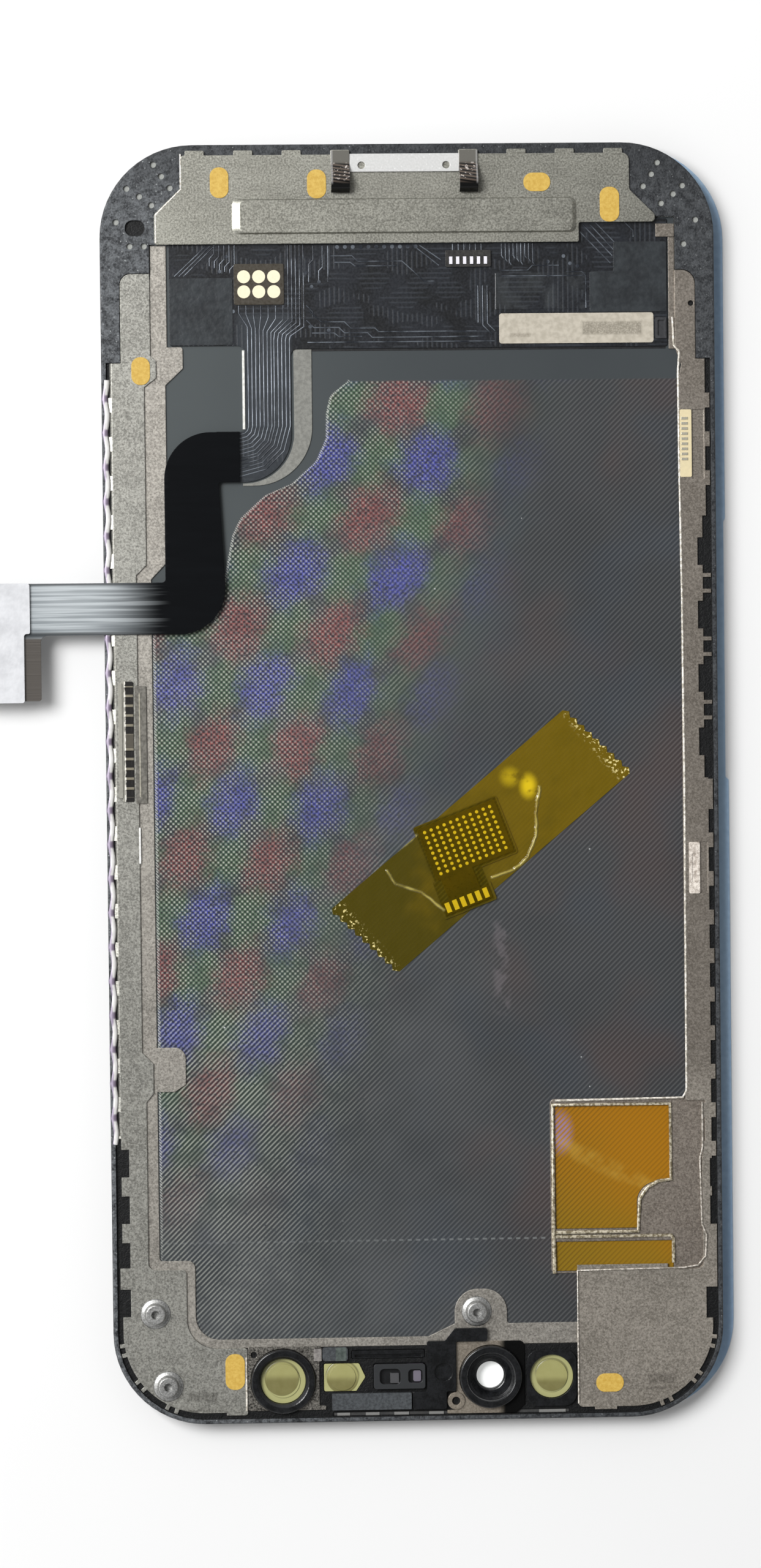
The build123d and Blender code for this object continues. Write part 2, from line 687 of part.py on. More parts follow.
with BuildPart() as inner_retainer:
    slab([
        (seam_top_x + 2 * fit_gap, retainer_top, 0), (retainer_right, retainer_top, 0),
        (retainer_right, board_bottom + 0.3, 0), (board_tab_right, board_bottom + 0.3, 0.3),
        (board_tab_right, board_bottom - 2.0, 0), (panel_left_upper, board_bottom - 3.8, 0),
        (panel_left_upper, seam_jog_y + 0.9, 0), (panel_left_lower, seam_jog_y - 1.0, 0),
        (panel_left_lower, panel_tab_top, 0), (panel_left_lower + panel_tab_reach, panel_tab_top, 1.2),
        (panel_left_lower + panel_tab_reach, panel_tab_top - panel_tab_length + 0.8, 0),
        (panel_left_lower + panel_tab_reach - 1.2, panel_tab_top - panel_tab_length, 0),
        (panel_left_lower, panel_tab_top - panel_tab_length, 0),
        (panel_left_lower, corner_shelf_y, 0.3), (corner_shelf_x, corner_shelf_y, 0.8),
        (corner_shelf_x, panel_bottom, 2.6), (lobe_left - 2.9, panel_bottom, 0),
        (lobe_left, panel_bottom + 1.35, 0), (lobe_left, lobe_top, lobe_radius),
        (lobe_right, lobe_top, lobe_radius), (lobe_right, lobe_foot_y, 0.3),
        (cover_tuck_x, lobe_foot_y, 0), (cover_tuck_x, open_bottom + fit_gap, 0),
        (shelf_tuck_x + fit_gap, open_bottom + fit_gap, 3.6),
        (shelf_tuck_x + fit_gap, shelf_tuck_y + fit_gap, 0), (open_left + fit_gap, shelf_tuck_y + fit_gap, 0),
        (open_left + fit_gap, plate_top_y - tuck - fit_gap, 0),
        (seam_top_x + 2 * fit_gap, plate_top_y - tuck - fit_gap, 0),
    ], low_level, deck_level)
inner_retainer.part.label = "inner_retainer"
export_step(inner_retainer.part, "parts/inner_retainer.step")

# strip at the right end of the board, with a tab over the board's corner
with BuildPart() as end_strip:
    slab([
        (board_right + 0.15, plate_shoulder_y + 1.1, 0), (open_right - fit_gap, plate_shoulder_y + 1.1, 0),
        (open_right - fit_gap, plate_top_y - tuck - fit_gap, 0),
        (end_strip_right, plate_top_y - tuck - fit_gap, 0), (end_strip_right, end_strip_top, 0),
        (board_right + 0.15, end_strip_top, 0),
    ], low_level, deck_level)
    block(board_right - 1.2, end_strip_right, end_strip_top - 1.4, end_strip_top, deck_level, plate_top)
end_strip.part.label = "end_strip"
export_step(end_strip.part, "parts/end_strip.step")

# plate with two windows at the lower right of the panel
upper_window_right = window_plate_left + 13.05
upper_window_bottom = window_plate_top - 14.2
upper_window_step_x = window_plate_left + 9.45
upper_window_step_y = window_plate_top - 9.2
lower_window_top = window_plate_top - 15.55
lower_window_right = window_plate_left + 13.4
amber_thickness = 0.05


def upper_window_corners(gap):
    x0 = window_plate_left + window_border + gap
    y0 = upper_window_bottom + gap
    return [
        (x0, y0, 0.2), (upper_window_step_x - gap, y0, 0),
        (upper_window_step_x - gap, upper_window_step_y + gap, 2.2),
        (upper_window_right - gap, upper_window_step_y + gap, 0),
        (upper_window_right - gap, window_plate_top - 0.75 - gap, 0.2),
        (x0, window_plate_top - 0.75 - gap, 0.2),
    ]


with BuildPart() as window_plate:
    block(window_plate_left, window_tuck_x - fit_gap, window_plate_bottom, window_plate_top,
          low_level, deck_level, 0.5)
    slab(upper_window_corners(0), low_level, deck_level, Mode.SUBTRACT)
    block(window_plate_left + window_border, lower_window_right, window_plate_bottom + 0.2,
          lower_window_top, low_level, deck_level, 0.1, Mode.SUBTRACT)
window_plate.part.label = "window_plate"
export_step(window_plate.part, "parts/window_plate.step")

with BuildPart() as upper_amber_film:
    slab(upper_window_corners(fit_gap), low_level, low_level + amber_thickness)
upper_amber_film.part.label = "upper_amber_film"
export_step(upper_amber_film.part, "parts/upper_amber_film.step")

with BuildPart() as lower_amber_film:
    block(window_plate_left + window_border + fit_gap, lower_window_right - fit_gap,
          window_plate_bottom + 0.2 + fit_gap, lower_window_top - fit_gap,
          low_level, low_level + amber_thickness)
lower_amber_film.part.label = "lower_amber_film"
export_step(lower_amber_film.part, "parts/lower_amber_film.step")


def turned(x, y, profile):
    # a round piece: each corner of its section is a radius, a height and a rounding
    with BuildSketch(Plane.XZ.offset(-y)) as section:
        closed_outline([(x + radius, z, bend) for radius, z, bend in profile])
    revolve(section.sketch, axis=Axis((x, y, 0), (0, 0, 1)))


# steel bracket over the end of the board, with a pressed bar and tabs along its edge
bracket_left = left + 8.8
bracket_foot_left = left + 5.9
bracket_right = right - 9.15
bracket_ear_right = right - 6.4
bracket_foot_right = right - 14.65
bracket_bottom = top - 10.7
bracket_step_y = top - 8.6
bracket_edge_y = top - 1.15
bracket_tab_width = 2.05
bracket_tab_reach = 0.5
bracket_tab_pitch = 5.23
bracket_tab_side = 4
left_tab_x = bracket_left + 1.5
right_tab_x = bracket_right - 1.75
press_left = bracket_foot_left + 8.4
press_right = bracket_foot_right - 0.25
press_bottom = top - 9.65
press_top = top - 5.9
press_height = 0.35
press_left_slope = 0.85
press_right_slope = 0.45
press_side_slope = 0.12
press_radius = 0.7

with BuildPart() as top_bracket:
    slab([
        (bracket_foot_left, bracket_bottom, 0.3), (bracket_foot_right, bracket_bottom, 0.2),
        (bracket_foot_right, bracket_step_y, 0.2), (bracket_ear_right, bracket_step_y, 0.4),
        (bracket_ear_right, bracket_step_y + 0.8, 0.4), (bracket_right, bracket_edge_y - 3.95, 0.6),
        (bracket_right, bracket_edge_y, 0.8), (bracket_left, bracket_edge_y, 0.4),
        (bracket_left, bracket_edge_y - 3.5, 0.6), (bracket_foot_left, bracket_edge_y - 6.3, 0.6),
    ], land_level, bracket_top)
    with BuildSketch(Plane.XY.offset(land_level)):
        for step in range(bracket_tab_side):
            for tab_x in (left_tab_x + bracket_tab_pitch * step, right_tab_x - bracket_tab_pitch * step):
                with Locations((tab_x, bracket_edge_y)):
                    RectangleRounded(bracket_tab_width, 2 * bracket_tab_reach, 0.15)
    extrude(amount=bracket_thickness)
    with BuildSketch(Plane.XY.offset(bracket_top)):
        with Locations(((press_left + press_right) / 2, (press_bottom + press_top) / 2)):
            RectangleRounded(press_right - press_left, press_top - press_bottom, press_radius)
    with BuildSketch(Plane.XY.offset(bracket_top + press_height)):
        crown_left = press_left + press_left_slope
        crown_right = press_right - press_right_slope
        with Locations(((crown_left + crown_right) / 2, (press_bottom + press_top) / 2)):
            RectangleRounded(crown_right - crown_left, press_top - press_bottom - 2 * press_side_slope,
                             press_radius - press_side_slope)
    loft()
    block(crown_left, crown_right - press_side_slope, press_bottom + 2 * press_side_slope,
          press_top - 2 * press_side_slope, land_level, land_level + press_height,
          press_radius - 2 * press_side_slope, Mode.SUBTRACT)
top_bracket.part.label = "top_bracket"
export_step(top_bracket.part, "parts/top_bracket.step")

# polished latch bar on the bracket, with a bent hook at each end
latch_left = -8.2
latch_right = 7.65
latch_lower_y = top - 3.05
latch_upper_y = top - 1.1
latch_back_y = top - 0.75
latch_thickness = 0.12
latch_rise = 0.15
hook_width = 2.0
hook_root_y = top - 2.2
hook_crown_y = top - 4.0
hook_front_y = top - 4.9
hook_tip_y = top - 5.3
hook_height = 1.5
hook_leaf = 0.22
latch_hole_radius = 0.4

with BuildPart() as latch_bar:
    with BuildSketch(Plane.YZ.offset(latch_left + hook_width / 2)):
        closed_outline([
            (latch_lower_y, bracket_top, 0), (latch_upper_y, bracket_top, 0),
            (latch_upper_y, bracket_top + latch_thickness, 0),
            (latch_lower_y, bracket_top + latch_thickness + latch_rise, 0),
        ])
    extrude(amount=latch_right - latch_left - hook_width)
    for hook_x in (latch_left, latch_right - hook_width):
        with BuildSketch(Plane.YZ.offset(hook_x)):
            closed_outline([
                (latch_back_y, bracket_top, 0), (latch_back_y, bracket_top + hook_leaf, 0),
                (hook_root_y, bracket_top + hook_leaf, 0.5),
                (hook_crown_y, bracket_top + hook_height, 0.35),
                (hook_front_y, bracket_top + hook_height - 0.15, 0.35),
                (hook_tip_y, bracket_top + 0.45, 0), (hook_tip_y + hook_leaf, bracket_top + 0.4, 0),
                (hook_front_y + hook_leaf, bracket_top + hook_height - 0.4, 0.15),
                (hook_crown_y - hook_leaf / 2, bracket_top + hook_height - 0.28, 0.15),
                (hook_root_y + hook_leaf / 2, bracket_top, 0.4),
            ])
        extrude(amount=hook_width)
    for hole_x in (latch_left + 3.3, latch_right - 3.4):
        disc(hole_x, latch_lower_y + 0.7, latch_hole_radius, bracket_top,
             bracket_top + latch_thickness + latch_rise, Mode.SUBTRACT)
latch_bar.part.label = "latch_bar"
export_step(latch_bar.part, "parts/latch_bar.step")

# driver board with its neck, and what is fixed on it
with BuildPart() as driver_board:
    slab([
        (board_left, board_top, 0.2), (board_left, board_bottom + 0.4, 0.3),
        (neck_left, board_bottom + 0.4, 0.9), (neck_left, neck_turn_top, 0.6),
        (neck_end, neck_turn_top, 0), (neck_end, neck_turn_bottom, 0),
        (neck_right, neck_turn_bottom, neck_bend_radius), (neck_right, board_bottom, 0.8),
        (board_right, board_bottom, 0.3), (board_right, board_top, 0.2),
    ], low_level, deck_level)
driver_board.part.label = "driver_board"
export_step(driver_board.part, "parts/driver_board.step")

tape_thickness = 0.06
board_tape_right = board_left + 6.85
with BuildPart() as board_tape:
    block(board_left + 0.05, board_tape_right, board_bottom + 0.5, board_bottom + 7.7,
          deck_level, deck_level + tape_thickness, 0.2)
board_tape.part.label = "board_tape"
export_step(board_tape.part, "parts/board_tape.step")

# block of test pads
pad_block_left = board_tape_right + 0.15
pad_block_width = 5.4
pad_block_bottom = board_bottom + 4.8
pad_block_length = 4.4
pad_block_height = 0.12
test_pad_radius = 0.7
test_pad_pitch = 1.62
test_pad_height = 0.05
with BuildPart() as pad_block:
    block(pad_block_left, pad_block_left + pad_block_width, pad_block_bottom,
          pad_block_bottom + pad_block_length, deck_level, deck_level + pad_block_height, 0.2)
    with BuildSketch(Plane.XY.offset(deck_level + pad_block_height)):
        with Locations((pad_block_left + pad_block_width / 2, pad_block_bottom + pad_block_length / 2)):
            with GridLocations(test_pad_pitch, test_pad_pitch, 3, 2):
                Circle(test_pad_radius)
    extrude(amount=test_pad_height)
pad_block.part.label = "pad_block"
export_step(pad_block.part, "parts/pad_block.step")

# connector with a row of pins
pin_count = 6
pin_pitch = 0.75
pin_width = 0.35
pin_length = 0.8
pin_height = 0.08
pin_body_x = 6.55
pin_body_y = top - 12.4
pin_body_length = 4.9
pin_body_width = 1.8
pin_body_height = 0.25
with BuildPart() as pin_connector:
    block(pin_body_x - pin_body_length / 2, pin_body_x + pin_body_length / 2,
          pin_body_y - pin_body_width / 2, pin_body_y + pin_body_width / 2,
          deck_level, deck_level + pin_body_height, 0.15)
    with BuildSketch(Plane.XY.offset(deck_level + pin_body_height)):
        with Locations((pin_body_x, pin_body_y - 0.2)):
            with GridLocations(pin_pitch, 1, pin_count, 1):
                Rectangle(pin_width, pin_length)
    extrude(amount=pin_height)
pin_connector.part.label = "pin_connector"
export_step(pin_connector.part, "parts/pin_connector.step")

# black tape over the chip end of the board
end_tape_bottom = board_bottom + 3.75
end_tape_step_y = board_bottom + 8.1
with BuildPart() as end_tape:
    slab([
        (board_right - 8.4, end_tape_bottom, 0.2), (board_right - 0.05, end_tape_bottom, 0.2),
        (board_right - 0.05, bracket_bottom, 0.2), (board_right - 5.8, bracket_bottom, 0.2),
        (board_right - 5.8, end_tape_step_y, 0.2), (board_right - 8.4, end_tape_step_y, 0.2),
    ], deck_level, deck_level + tape_thickness)
end_tape.part.label = "end_tape"
export_step(end_tape.part, "parts/end_tape.step")

with BuildPart() as board_label:
    block(board_right - 18.25, board_right - 1.5, board_bottom + 0.4, end_tape_bottom - 0.1,
          deck_level, deck_level + tape_thickness, 0.3)
board_label.part.label = "board_label"
export_step(board_label.part, "parts/board_label.step")

small_connector_width = 1.2
small_connector_height = 0.3
with BuildPart() as small_connector:
    block(board_right - 0.1 - small_connector_width, board_right - 0.1, board_bottom + 0.8,
          board_bottom + 3.1, deck_level, deck_level + small_connector_height, 0.1)
    block(board_right + 0.15 - small_connector_width, board_right - 0.35, board_bottom + 1.1,
          board_bottom + 2.8, deck_level + small_connector_height / 2,
          deck_level + small_connector_height, 0.1, Mode.SUBTRACT)
small_connector.part.label = "small_connector"
export_step(small_connector.part, "parts/small_connector.step")

# stiffening strip that follows the outside of the neck
neck_strip_width = 2.1
neck_strip_gap = 0.3
neck_strip_bend = neck_bend_radius + 0.2
neck_strip_outer_bend = 6.3
neck_strip_toe = 0.25
neck_strip_thickness = 0.1
with BuildPart() as neck_strip:
    strip_inner_x = neck_right + neck_strip_gap
    strip_outer_x = strip_inner_x + neck_strip_width - neck_strip_gap / 2
    strip_toe_x = strip_inner_x - neck_strip_bend - 0.2
    strip_inner_y = neck_turn_bottom - neck_strip_gap / 2
    strip_outer_y = strip_inner_y - neck_strip_toe
    slab([
        (strip_inner_x, board_bottom - fit_gap, 0), (strip_inner_x, strip_inner_y, neck_strip_bend),
        (strip_toe_x, strip_inner_y, 0), (strip_toe_x, strip_outer_y, 0),
        (strip_outer_x, strip_outer_y, neck_strip_outer_bend),
        (strip_outer_x, board_bottom - fit_gap, 0),
    ], low_level, low_level + neck_strip_thickness)
neck_strip.part.label = "neck_strip"
export_step(neck_strip.part, "parts/neck_strip.step")

# flexible tail: foam under its arm, the tail itself, and the head with its connector
tail_level = land_level
tail_top_level = tail_level + tail_thickness
foam_inset = 0.35
with BuildPart() as flex_foam:
    slab([
        (tail_arm_left + foam_inset, tail_run_top - tail_run_width + 1.0, 0.5),
        (tail_arm_right_foot - 1.0, tail_run_top - tail_run_width + 1.0, 3.0),
        (tail_arm_right_top - 0.15, neck_turn_bottom, 0), (tail_arm_right_top - 0.15, tail_top, 0),
        (tail_arm_left + foam_inset, tail_top, tail_bend_radius - foam_inset),
    ], low_level, tail_level)
    block(tail_arm_right_top - 0.15, tail_root, neck_turn_bottom, neck_turn_top, deck_level, tail_level)
flex_foam.part.label = "flex_foam"
export_step(flex_foam.part, "parts/flex_foam.step")

with BuildPart() as flex_tail:
    slab([
        (tail_root, tail_top, 0), (tail_arm_left, tail_top, tail_bend_radius),
        (tail_arm_left, tail_run_top, 0.4), (head_left, tail_run_top, 0.3),
        (head_left, tail_run_top - head_length, 0.3), (head_right, tail_run_top - head_length, 0.3),
        (head_right, tail_run_top - tail_run_width, 0.7),
        (tail_arm_right_foot, tail_run_top - tail_run_width, tail_bend_radius),
        (tail_arm_right_top, neck_turn_bottom, 0.3), (tail_root, neck_turn_bottom, 0),
    ], tail_level, tail_top_level)
flex_tail.part.label = "flex_tail"
export_step(flex_tail.part, "parts/flex_tail.step")

cover_height = 0.28
cover_arm_x = head_right - 1.15
with BuildPart() as connector_cover:
    slab([
        (head_left - 0.3, tail_run_top + 0.05, 0.4), (head_left - 0.3, tail_run_top - head_length - 0.2, 0.4),
        (cover_arm_x - 0.65, tail_run_top - head_length - 0.2, 0.3),
        (cover_arm_x - 0.65, tail_run_top - tail_run_width + 0.2, 0.3),
        (cover_arm_x, tail_run_top - tail_run_width + 0.2, 0.2), (cover_arm_x, tail_run_top + 0.05, 0.3),
    ], tail_top_level, tail_top_level + cover_height)
connector_cover.part.label = "connector_cover"
export_step(connector_cover.part, "parts/connector_cover.step")

plug_thickness = 0.2
plug_height = 0.8
plug_wall = 0.5
plug_left = head_left + 1.0
plug_right = plug_left + 2.8
plug_bottom = tail_run_top - head_length + 0.9
plug_top = plug_bottom + 11.0
with BuildPart() as flex_connector:
    block(head_left + 0.3, head_right - 0.95, plug_bottom - 0.6, plug_top + 0.5,
          tail_level - plug_thickness, tail_level, 0.3)
    block(plug_left, plug_right, plug_bottom, plug_top, tail_level - plug_height,
          tail_level - plug_thickness, 0.3)
    block(plug_left + plug_wall, plug_right - plug_wall, plug_bottom + plug_wall, plug_top - plug_wall,
          tail_level - plug_height, tail_level - plug_thickness - 0.2, 0.1, Mode.SUBTRACT)
flex_connector.part.label = "flex_connector"
export_step(flex_connector.part, "parts/flex_connector.step")

# gold grounding pads: middle x and y, size across and along, and the level they lie on
ground_pad_height = 0.06
ground_pad_radius = 0.95
ground_pad_places = [
    (left + 12.95, top - 4.1, 2.0, 3.3, bracket_top), (-9.75, top - 4.3, 2.05, 3.1, bracket_top),
    (14.05, top - 4.25, 2.9, 2.0, bracket_top), (right - 11.3, top - 6.7, 2.1, 3.75, bracket_top),
    (left + 4.25, top - 24.25, 2.0, 3.0, plate_top), (plate_end_x - 1.35, bottom + 5.65, 2.1, 3.9, plate_top),
    (cover_left + 3.45, bottom + 3.8, 3.0, 2.0, plate_top),
]
with BuildPart() as ground_pads:
    for pad_x, pad_y, pad_width, pad_length, pad_level in ground_pad_places:
        block(pad_x - pad_width / 2, pad_x + pad_width / 2, pad_y - pad_length / 2, pad_y + pad_length / 2,
              pad_level, pad_level + ground_pad_height, ground_pad_radius)
ground_pads.part.label = "ground_pads"
export_step(ground_pads.part, "parts/ground_pads.step")

# contact strips on the side plates
contact_height = 0.12
comb_left = left + 1.8
comb_right = left + 3.0
comb_bottom = top - 70.7
comb_top = top - 57.7
comb_pitch = 1.06
comb_slot_count = 5
comb_slot_length = 0.5
comb_group_tops = (comb_top - 0.9, comb_top - 7.75)
rail_width = 0.4
rail_height = 0.2
with BuildPart() as comb_contact:
    block(comb_left, comb_right, comb_bottom, comb_top, plate_top, plate_top + contact_height, 0.15)
    block(comb_left - rail_width, comb_left, comb_bottom + 0.4, comb_top - 0.2, plate_top,
          plate_top + rail_height)
    for group_top in comb_group_tops:
        for step in range(comb_slot_count):
            slot_y = group_top - comb_pitch * step
            block(comb_left + 0.2, comb_right - 0.25, slot_y - comb_slot_length / 2,
                  slot_y + comb_slot_length / 2, plate_top + 0.03, plate_top + contact_height, 0,
                  Mode.SUBTRACT)
comb_contact.part.label = "comb_contact"
export_step(comb_contact.part, "parts/comb_contact.step")

upper_contact_left = panel_right + 0.05
upper_contact_right = right - 2.6
upper_contact_bottom = top - 36.2
upper_contact_top = top - 28.9
rib_count = 9
rib_pitch = 0.55
rib_height = 0.06
with BuildPart() as upper_side_contact:
    block(upper_contact_left, upper_contact_right, upper_contact_bottom, upper_contact_top,
          plate_top, plate_top + contact_height, 0.15)
    with BuildSketch(Plane.XY.offset(plate_top + contact_height)):
        with Locations(((upper_contact_left + upper_contact_right) / 2 - 0.15,
                        (upper_contact_bottom + upper_contact_top) / 2 + 0.5)):
            with GridLocations(1, rib_pitch, 1, rib_count):
                Rectangle(0.7, rib_pitch / 2)
    extrude(amount=rib_height)
upper_side_contact.part.label = "upper_side_contact"
export_step(upper_side_contact.part, "parts/upper_side_contact.step")

lower_contact_left = right - 3.3
lower_contact_right = right - 2.1
lower_contact_bottom = lower_recess_y0
lower_contact_top = lower_recess_y1
with BuildPart() as lower_side_contact:
    block(lower_contact_left, lower_contact_right, lower_contact_bottom, lower_contact_top,
          plate_top, plate_top + contact_height, 0.2)
    block(lower_contact_left + 0.35, lower_contact_right - 0.35, lower_contact_bottom + 1.2,
          lower_contact_top - 1.2, plate_top + contact_height / 2, plate_top + contact_height, 0.2,
          Mode.SUBTRACT)
lower_side_contact.part.label = "lower_side_contact"
export_step(lower_side_contact.part, "parts/lower_side_contact.step")

# threaded standoffs for the screws of the sensor cover
standoff_radius = 1.05
standoff_flange_radius = 1.65
standoff_flange = 0.14
standoff_height = 0.9
standoff_top = plate_top + standoff_height
standoff_hole_radius = 0.45
standoff_floor = plate_top + 0.15
standoff_places = [
    ("left_standoff", left + 4.6, bottom + 12.1, plate_top),
    ("corner_standoff", left + 5.9, bottom + 4.2, plate_top),
    ("lobe_standoff", lobe_left + 2.4, lobe_top - 2.45, deck_level),
]
for standoff_name, standoff_x, standoff_y, standoff_level in standoff_places:
    with BuildPart() as standoff:
        turned(standoff_x, standoff_y, [
            (0, standoff_level, 0), (standoff_flange_radius, standoff_level, 0),
            (standoff_radius + 0.1, standoff_level + standoff_flange, 0.2),
            (standoff_radius, standoff_top, 0.12),
            (standoff_hole_radius, standoff_top, 0),
            (standoff_hole_radius, standoff_floor, 0), (0, standoff_floor, 0),
        ])
    standoff.part.label = standoff_name
    export_step(standoff.part, "parts/" + standoff_name + ".step")

# round seat with a film, for the infrared camera
film_seat_level = deck_level - 0.1
sensor_film_thickness = 0.1
sensor_film_dome = 0.06
ledge_radius = 1.95
infrared_dome_radius = 1.85
with BuildPart() as infrared_ring:
    turned(ring_x, ring_y, [
        (ledge_radius, seat_level, 0), (ring_radius - seat_flange, seat_level, 0),
        (ring_radius - seat_flange, deck_level, 0), (ring_radius, deck_level, 0),
        (ring_radius, deck_level + ring_height, 0.2),
        (ring_hole_radius + 0.3, deck_level + ring_height, 0.15),
        (ring_hole_radius, deck_level + ring_height - 0.3, 0), (ring_hole_radius, film_seat_level, 0),
        (ledge_radius, film_seat_level, 0),
    ])
infrared_ring.part.label = "infrared_ring"
export_step(infrared_ring.part, "parts/infrared_ring.step")

with BuildPart() as infrared_film:
    disc(ring_x, ring_y, ring_hole_radius - fit_gap, film_seat_level, film_seat_level + sensor_film_thickness)
    disc(ring_x, ring_y, infrared_dome_radius, film_seat_level,
         film_seat_level + sensor_film_thickness + sensor_film_dome)
infrared_film.part.label = "infrared_film"
export_step(infrared_film.part, "parts/infrared_film.step")

# steel bracket that clips round the infrared ring
clip_left = plate_end_x + fit_gap
clip_right = ring_x + ring_radius + 0.45
clip_top = band_bottom + 0.1
clip_bottom = bottom + 1.35
clip_thickness = 0.15
with BuildPart() as ring_bracket:
    block(clip_left, clip_right, clip_bottom, clip_top, deck_level, deck_level + clip_thickness, 0.2)
    block(clip_right - 1.0, clip_right + 0.25, clip_top - 1.7, clip_top, deck_level,
          deck_level + clip_thickness, 0.2)
    block(clip_right - 0.4, clip_right + 0.7, clip_bottom, clip_bottom + 0.45, deck_level,
          deck_level + clip_thickness, 0.1)
    disc(ring_x, ring_y, ring_radius + fit_gap, deck_level, deck_level + clip_thickness, Mode.SUBTRACT)
    disc(clip_left + 0.65, clip_top - 0.85, 0.35, deck_level, deck_level + clip_thickness, Mode.SUBTRACT)
ring_bracket.part.label = "ring_bracket"
export_step(ring_bracket.part, "parts/ring_bracket.step")

# window for the flood light
flood_dome_x = flood_x - 0.25
with BuildPart() as flood_window:
    slab(flood_corners(0), flood_floor, deck_level + 0.1)
    disc(flood_dome_x, flood_y, flood_length / 2 - 0.05, deck_level + 0.1, deck_level + 0.16)
flood_window.part.label = "flood_window"
export_step(flood_window.part, "parts/flood_window.step")

# holder with two small sensor windows
holder_height = 0.5
holder_left = holder_x - holder_width / 2
holder_right = holder_x + holder_width / 2
with BuildPart() as sensor_holder:
    block(holder_left, holder_right, holder_y - holder_length / 2, holder_y + holder_length / 2,
          flood_floor, deck_level + holder_height, 0.3)
    block(holder_left + 0.65, holder_left + 2.9, holder_y - 0.85, holder_y + 0.85,
          deck_level, deck_level + holder_height, 0.5, Mode.SUBTRACT)
    block(holder_left + 1.8, holder_left + 2.75, holder_y - 0.75, holder_y + 0.35,
          deck_level, deck_level + 0.25, 0.1)
    block(holder_left + 3.75, holder_right - 0.3, holder_y - 0.75, holder_y + 0.75,
          deck_level, deck_level + holder_height, 0.4, Mode.SUBTRACT)
    block(holder_right - 1.3, holder_right - 0.45, holder_y - 0.6, holder_y + 0.6,
          deck_level, deck_level + 0.25, 0.2)
sensor_holder.part.label = "sensor_holder"
export_step(sensor_holder.part, "parts/sensor_holder.step")

with BuildPart() as earpiece_bar:
    block(ear_slot_x - ear_bar_length / 2, ear_slot_x + ear_bar_length / 2,
          ear_slot_y - ear_bar_width / 2, ear_slot_y + ear_bar_width / 2, flood_floor, deck_level + 0.05, 0.2)
    block(ear_slot_x - ear_bar_length / 2 + 0.3, ear_slot_x + ear_bar_length / 2 - 0.3,
          ear_slot_y - ear_bar_width / 2 + 0.12, ear_slot_y, flood_floor + 0.15, deck_level + 0.05, 0.1,
          Mode.SUBTRACT)
earpiece_bar.part.label = "earpiece_bar"
export_step(earpiece_bar.part, "parts/earpiece_bar.step")

# foam blocks that seal the sensors
foam_height = 0.45
with BuildPart() as foam_pads:
    block(holder_left - 4.55, holder_left + 4.1, bottom + 1.3, bottom + 3.1, deck_level,
          deck_level + foam_height, 0.1)
    block(clip_right + 0.35, clip_right + 3.1, clip_top - 1.65, clip_top - 0.15, deck_level,
          deck_level + foam_height / 2, 0.3)
foam_pads.part.label = "foam_pads"
export_step(foam_pads.part, "parts/foam_pads.step")

# bracket of the proximity sensor, between the holder and the camera
proximity_left = holder_right + 0.2
proximity_right = camera_x - 3.8
proximity_height = 0.55
proximity_ring_radius = 1.0
with BuildPart() as sensor_bracket:
    slab([
        (proximity_left, bottom + 8.7, 0.2), (proximity_left, bottom + 3.2, 0),
        (holder_left + 4.25, bottom + 3.2, 0.2), (holder_left + 4.25, bottom + 1.3, 0.2),
        (proximity_right - 1.05, bottom + 1.3, 0.2), (proximity_right - 1.05, bottom + 3.2, 0.2),
        (proximity_right, bottom + 3.2, 0.2), (proximity_right, bottom + 8.6, 0.1),
        (proximity_right + 3.45, bottom + 8.6, 0.3), (proximity_right + 3.45, bottom + 10.05, 0.3),
        (proximity_right - 0.1, bottom + 10.05, 0.3), (proximity_right - 1.2, bottom + 8.7, 0.3),
    ], deck_level, deck_level + proximity_height)
    disc(proximity_right - 1.35, bottom + 5.3, proximity_ring_radius, deck_level + proximity_height - 0.25,
         deck_level + proximity_height, Mode.SUBTRACT)
sensor_bracket.part.label = "sensor_bracket"
export_step(sensor_bracket.part, "parts/sensor_bracket.step")

# round seat of the front camera, open through its middle
with BuildPart() as camera_ring:
    turned(camera_x, camera_y, [
        (camera_bore_radius + fit_gap, seat_level, 0), (camera_radius - seat_flange, seat_level, 0),
        (camera_radius - seat_flange, deck_level, 0), (camera_radius, deck_level, 0),
        (camera_radius, deck_level + camera_height, 0.2),
        (camera_radius - 0.75, deck_level + camera_height, 0.1),
        (camera_radius - 0.9, deck_level + camera_height - 0.4, 0),
        (camera_radius - 1.1, deck_level + camera_height - 0.45, 0),
        (camera_bore_radius + 0.15, seat_level + 0.35, 0),
        (camera_bore_radius + fit_gap, seat_level + 0.3, 0),
    ])
camera_ring.part.label = "camera_ring"
export_step(camera_ring.part, "parts/camera_ring.step")

